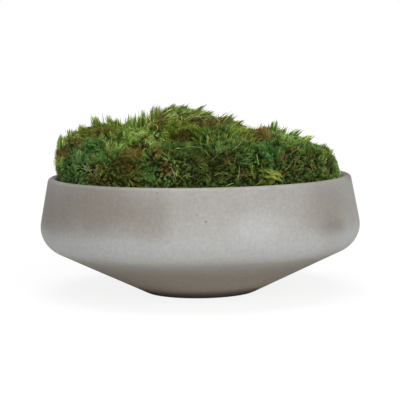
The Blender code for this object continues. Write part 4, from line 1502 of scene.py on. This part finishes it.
def moss_shoots(nets, slots, finishes, ground):
    """The leafy shoots of all the clumps, where a clump's growth strays a little over its borders."""
    parts = {name: [] for name in nets}
    for number, (name, net) in enumerate(nets.items()):
        random = np.random.default_rng(SEED + number)
        clump, growth = CLUMPS[name], GROWTHS[CLUMPS[name].growth]
        shoots = shoots_of(net, clump, SKINS[slots[name]], ground, random)
        grown = [(name, loose_blades(net, clump, random))]
        chosen = strayed(number, shoots, growth, ground, random)
        for owner in np.unique(chosen):
            own = picked(shoots, chosen == owner)
            grown.append((ground.names[owner], leaves_on(own, growth, random)))
            grown.append((ground.names[owner], stems_on(own, SHOOT_STEM, random)))
        for owner, (points, triangles, values) in grown:
            parts[owner].append((kept_off_bowl(points, clump.over), triangles, values))
    for name in nets:
        points, triangles, values = joined(parts[name])
        named = list(zip(LEAF_VALUES, values.T))
        made = mesh_piece(name + "_shoots", points, triangles, finishes[slots[name], "leaf"], named)
        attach(made, "root")
        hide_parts(name)


# Pieces placed by the photograph's pixels


def picture_place(points):
    """Where the camera sees each point, in pixels across and down."""
    right, top, back = camera_axes()
    away = points - CAMERA_PLACE
    scale = CAMERA_LENS / SENSOR_WIDTH * PICTURE_SIDE / -(away @ back)
    return PICTURE_SIDE / 2 + (away @ right) * scale, PICTURE_SIDE / 2 - (away @ top) * scale


def pixel_way(across, down):
    """The direction in which the camera sees a pixel of the photograph."""
    right, top, back = camera_axes()
    focal = CAMERA_LENS / SENSOR_WIDTH * PICTURE_SIDE
    return unit(right * (across - PICTURE_SIDE / 2) / focal + top * (PICTURE_SIDE / 2 - down) / focal - back)


def seen_at(across, down, tree):
    """The place on the moss that a pixel of the photograph shows."""
    place = tree.ray_cast(Vector(CAMERA_PLACE), Vector(pixel_way(across, down)))[0]
    return None if place is None else np.array(place)


def level_with(place, across, down):
    """The point that a pixel shows at the same distance in front of the camera as a place is."""
    forward = -camera_axes()[2]
    way = pixel_way(across, down)
    return CAMERA_PLACE + way * ((place - CAMERA_PLACE) @ forward) / (way @ forward)


def met_below(across, down, tree):
    """The place that a pixel shows on the moss, or the first one straight below that shows any."""
    for drop in range(0, MOST_DROP, 2):
        place = seen_at(across, down + drop, tree)
        if place is not None:
            return place


def leaf_depth(across, down, leaves):
    """How far in front of the camera the first leaf stands that a pixel shows."""
    way, forward = pixel_way(across, down), -camera_axes()[2]
    hits = [piece.ray_cast(Vector(CAMERA_PLACE), Vector(way)) for piece in leaves]
    return min(((np.array(hit[1]) - CAMERA_PLACE) @ forward for hit in hits if hit[0]), default=math.nan)


def laid_path(strand, leaves):
    """A strand's path over the leaves that its pixels show: bent in the picture, straight in depth."""
    near, middle, far = np.array(strand.path, float)
    share = np.linspace(0, 1, STRAND_STEPS)
    pixels = along_curve(share[:, None], near, 2 * middle - (near + far) / 2, far)
    depths = np.array([leaf_depth(*pixel, leaves) for pixel in pixels])
    depths = np.where(np.isnan(depths), np.nanmin(depths), depths)
    depths = np.minimum(depths, depths.min() + STRAND_REACH)
    slope, level = np.polyfit(share, depths, 1)
    line = level + slope * share
    line += max(np.percentile(depths - line, 15), -STRAND_SINK) - strand.lift * np.sin(math.pi * share)
    ahead = CAMERA_PLACE - np.outer(line, camera_axes()[2])
    return np.stack([level_with(place, *pixel) for place, pixel in zip(ahead, pixels)])


def tube(path, thickness, blunt=0.35):
    """A four-sided tube along a path, thinner towards its end."""
    ways = unit(np.gradient(path, axis=0))
    first = unit(np.cross(ways, ASKEW))
    second = np.cross(ways, first)
    size = thickness / 2 * np.linspace(1, blunt, len(path))[:, None]
    turns = [math.pi / 2 * k for k in range(4)]
    rings = np.stack([path + size * (first * math.cos(t) + second * math.sin(t)) for t in turns], axis=1)
    faces = []
    for ring in range(len(path) - 1):
        for k in range(4):
            low, after = 4 * ring + k, 4 * ring + (k + 1) % 4
            faces += [(low, after, after + 4), (low, after + 4, low + 4)]
    last = 4 * (len(path) - 1)
    faces += [(0, 2, 1), (0, 3, 2), (last, last + 1, last + 2), (last, last + 2, last + 3)]
    return rings.reshape(-1, 3), np.array(faces)


def extra_piece(name, parts, material):
    """A piece of its own, which no solid of the frame stands for."""
    points, triangles, values = joined(parts)
    points = kept_off_bowl(points, EXTRA_OVER)
    made = mesh_piece(name, points, triangles, material, list(zip(LEAF_VALUES, values.T)))
    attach(made, "root")


def strands(name, rows, material, leaves, random):
    """Loose strands lying over the moss."""
    parts = []
    for row in rows:
        path = laid_path(row, leaves)
        path[1:-1] += random.normal(0, STRAND_KINKS, path[1:-1].shape)
        points, triangles = tube(path, row.thickness)
        parts.append((points, triangles, np.tile((0.6, random.random(), 0.2), (len(points), 1))))
    extra_piece(name, parts, material)


def tuft_blades(root, tip, tuft, random):
    """The long narrow leaves of a tall tuft."""
    count = 3 * tuft.shoots
    spread = random.normal(0, 0.6, (count, 3)) * (1, 1, 0.4)
    starts = root + tuft.radius * spread - (0, 0, TUFT_SINK)
    ends = tip + 1.2 * tuft.fan * spread
    ends = starts + random.uniform(0.6, 1.05, count)[:, None] * (ends - starts)
    bends = (starts + ends) / 2 + (0, 0, 0.003) + random.normal(0, 0.002, starts.shape)
    widths = random.uniform(*TUFT_BLADE_WIDTHS, count)
    points, triangles = ribbons(starts, bends, ends, widths, random)
    along = np.array((0.2, 0.2, 0.5, 0.5, 0.8, 0.8, 1.0, 1.0, 1.1))
    grown = along * random.uniform(0.8, 1.1, (count, 1))
    tint = random.uniform(0.1, 1.0, (count, 1))
    dry = np.where(random.random((count, 1)) < 0.15, 0.7, 0.0)
    return points, triangles, leaf_values(grown, tint, dry)


def tuft_shoots(root, tip, tuft, random):
    """The leafy shoots of a tall tuft."""
    count, growth = tuft.shoots, GROWTHS[tuft.growth]
    spread = random.normal(0, 0.5, (count, 3)) * (1, 1, 0.5)
    roots = root + tuft.radius * spread - (0, 0, TUFT_SINK)
    share = random.uniform(0.62, 1.0, count)[:, None]
    ends = roots + share * (tip + tuft.fan * (spread + random.normal(0, 0.5, (count, 3))) - roots)
    long = np.linalg.norm(ends - roots, axis=1)
    size = np.clip(long / (1.3 * growth.length), 0.4, 1.0)
    stems = (ends - roots) * np.maximum(0.25, 1 - 0.85 * growth.length * size / long)[:, None]
    tips = roots + stems
    bends = (roots + tips) / 2 + 0.15 * np.linalg.norm(stems, axis=1)[:, None] * (spread + (0, 0, 0.3))
    sides = unit(unit(stems) + random.normal(0, 0.35, (count, 3)))
    dry = np.where(random.random(count) < 0.12, 0.6, 0.0)
    tint, youth = random.uniform(0.1, 1.0, count), random.uniform(0.3, 1.0, count)
    return Shoots(roots, tips, bends, sides, tint, dry, youth, size)


def tall_tufts(finishes, tree, random):
    """The tufts that stand up out of the skyline, one piece for each moss colour."""
    parts = {}
    for tuft in TALL_TUFTS:
        root = met_below(*tuft.root, tree)
        tip = level_with(root, *tuft.tip)
        shoots = tuft_shoots(root, tip, tuft, random)
        made = parts.setdefault(tuft.slot, [])
        made.append(leaves_on(shoots, GROWTHS[tuft.growth], random))
        made.append(stems_on(shoots, TUFT_STEM, random))
        made.append(tuft_blades(root, tip, tuft, random))
    for slot, made in parts.items():
        extra_piece("tall_tufts_" + slot.removeprefix("moss_"), made, finishes[slot, "leaf"])


def leafy_pieces():
    """All the pieces so far that have leaves."""
    bpy.context.view_layer.update()
    return [piece for piece in bpy.data.objects if "_shoots" in piece.name or "tall_tufts" in piece.name]


def plume_leaves(path, row, random):
    """The narrow leaves on both sides of a plume's stem."""
    share = random.uniform(0, 0.9, row.leaves)
    steps = np.linspace(0, 1, len(path))
    starts, ways = (
        np.stack([np.interp(share, steps, side) for side in rows.T], axis=-1)
        for rows in (path, np.gradient(path, axis=0))
    )
    ways = unit(ways)
    across = np.cross(ways, camera_axes()[2]) * random.normal(0, 1, (row.leaves, 1))
    across = row.spread * (across + random.normal(0, 0.3, ways.shape))
    long = row.long * random.uniform(0.6, 1.1, (row.leaves, 1)) * (1.1 - 0.6 * share[:, None])
    ends = starts + long * unit(ways + across)
    bends = starts + 0.5 * long * unit(ways + 1.6 * across)
    points, triangles = ribbons(starts, bends, ends, random.uniform(*BLADE_WIDTHS, row.leaves), random)
    return points, triangles, blade_values(row.leaves, (0.45, 1.0), (0.0, 1.0), (-0.4, 0.5), random)


def plumes(material, leaves, random):
    """Feathery fronds: a stem with narrow leaves that leave it on both sides."""
    parts = []
    for row in PLUMES:
        path = laid_path(row, leaves)
        points, triangles = tube(path, PLUME_STEM)
        parts.append((points, triangles, np.tile((0.5, 0.5, 0.2), (len(points), 1))))
        parts.append(plume_leaves(path, row, random))
    extra_piece("yellow_plumes", parts, material)


# Studio


def camera_axes():
    """The camera's right, top and back directions, with its slight roll."""
    forward = unit(np.array(CAMERA_AIM) - CAMERA_PLACE)
    right = unit(np.cross(forward, (0, 0, 1)))
    top = np.cross(right, forward)
    cosine, sine = math.cos(CAMERA_ROLL), math.sin(CAMERA_ROLL)
    return cosine * right - sine * top, sine * right + cosine * top, -forward


def set_camera():
    """The camera at the photograph's viewing angle."""
    lens = bpy.data.cameras.new("camera")
    lens.lens = CAMERA_LENS
    lens.sensor_width = SENSOR_WIDTH
    lens.clip_start, lens.clip_end = CLIP_DISTANCES
    made = bpy.data.objects.new("camera", lens)
    turn = Matrix(np.stack(camera_axes(), axis=-1).tolist()).to_4x4()
    made.matrix_world = Matrix.Translation(CAMERA_PLACE) @ turn
    bpy.context.scene.collection.objects.link(made)
    bpy.context.scene.camera = made


def set_lights():
    """Broad soft lights, each as from a large panel far off."""
    for light in LIGHTS:
        lamp = bpy.data.lights.new(light.name, "SUN")
        lamp.energy = light.strength
        lamp.angle = math.radians(light.spread)
        lamp.color = light.colour
        made = bpy.data.objects.new(light.name, lamp)
        azimuth, elevation = math.radians(light.azimuth), math.radians(light.elevation)
        level = math.cos(elevation)
        towards = Vector((level * math.sin(azimuth), -level * math.cos(azimuth), math.sin(elevation)))
        made.rotation_euler = towards.to_track_quat("Z", "Y").to_euler()
        bpy.context.scene.collection.objects.link(made)


def set_sky():
    """A white backdrop for the eye, and a faint light from all round."""
    world = bpy.data.worlds.new("studio")
    bpy.context.scene.world = world
    world.use_nodes = True
    tree = world.node_tree
    tree.nodes.clear()
    paper = add_node(tree, "ShaderNodeBackground", [("Color", colour(BACKDROP)), ("Strength", 1.0)])
    light = [("Color", colour(SKY_COLOUR)), ("Strength", SKY_LIGHT)]
    lighting = add_node(tree, "ShaderNodeBackground", light)
    seen = add_node(tree, "ShaderNodeLightPath").outputs["Is Camera Ray"]
    both = add_node(tree, "ShaderNodeMixShader", [(0, seen), (1, lighting.outputs[0]), (2, paper.outputs[0])])
    add_node(tree, "ShaderNodeOutputWorld", [("Surface", both.outputs[0])])


def set_floor():
    """A plain pale floor. The eye sees it mostly as white paper, so that the shadow on it is faint."""
    plain = {"Base_Color": colour(FLOOR_COLOUR), "Roughness": 0.9, "Specular_IOR_Level": 0.1}
    material, tree, shader = new_material("pale_floor", **plain)
    paper = add_node(tree, "ShaderNodeEmission", [("Color", colour(BACKDROP)), ("Strength", PAPER_GLOW)])
    seen = add_node(tree, "ShaderNodeLightPath").outputs["Is Camera Ray"]
    share = maths(tree, "MULTIPLY", seen, FLOOR_WHITENESS)
    both = add_node(tree, "ShaderNodeMixShader", [(0, share), (1, shader.outputs[0]), (2, paper.outputs[0])])
    tree.links.new(both.outputs[0], tree.nodes["Material Output"].inputs["Surface"])
    half = FLOOR_SIDE / 2
    corners = [(-half, -half, 0), (half, -half, 0), (half, half, 0), (-half, half, 0)]
    mesh_piece("floor", corners, [(0, 1, 2), (0, 2, 3)], material, smooth=False)


def main():
    """The whole scene."""
    noise.seed_set(NOISE_SEED)
    bpy.context.scene.view_settings.view_transform = "Standard"
    bpy.context.scene.cycles.denoising_prefilter = "NONE"
    set_camera()
    set_lights()
    set_sky()
    set_floor()
    patches, grain, spot = build_patches(), build_grain(), build_spot()
    leaf_tone = build_leaf_tone(patches)
    turned_bowl(cast_concrete(patches, grain, spot))
    soil = frame["nodes"]["soil"]
    soil.data.materials.clear()
    soil.data.materials.append(potting_soil(grain, patches))
    finishes = {}
    for slot, skin in SKINS.items():
        finishes[slot, "leaf"] = moss_leaf(slot, skin, leaf_tone)
        finishes[slot, "matting"] = moss_cushion(slot, skin, patches, grain)
    slots = {part["node"]: part["material_slot"] for part in frame["record"]["subparts"]}
    nets = {name: pressed(bare_net(frame["nodes"][name])) for name in CLUMPS}
    ground = moss_ground(nets)
    moss_cushions(nets, slots, finishes)
    moss_shoots(nets, slots, finishes, ground)
    random = np.random.default_rng(EXTRAS_SEED)
    tall_tufts(finishes, ground.tree, random)
    leaves = leafy_pieces()
    plumes(moss_leaf("yellow_plume", PLUME_SKIN, leaf_tone), leaves, random)
    for name, rows, finish, pale, dark, slot in LOOSE_PIECES:
        strands(name, rows, dry_strand(finish, pale, dark, patches), leaves, random)


main()
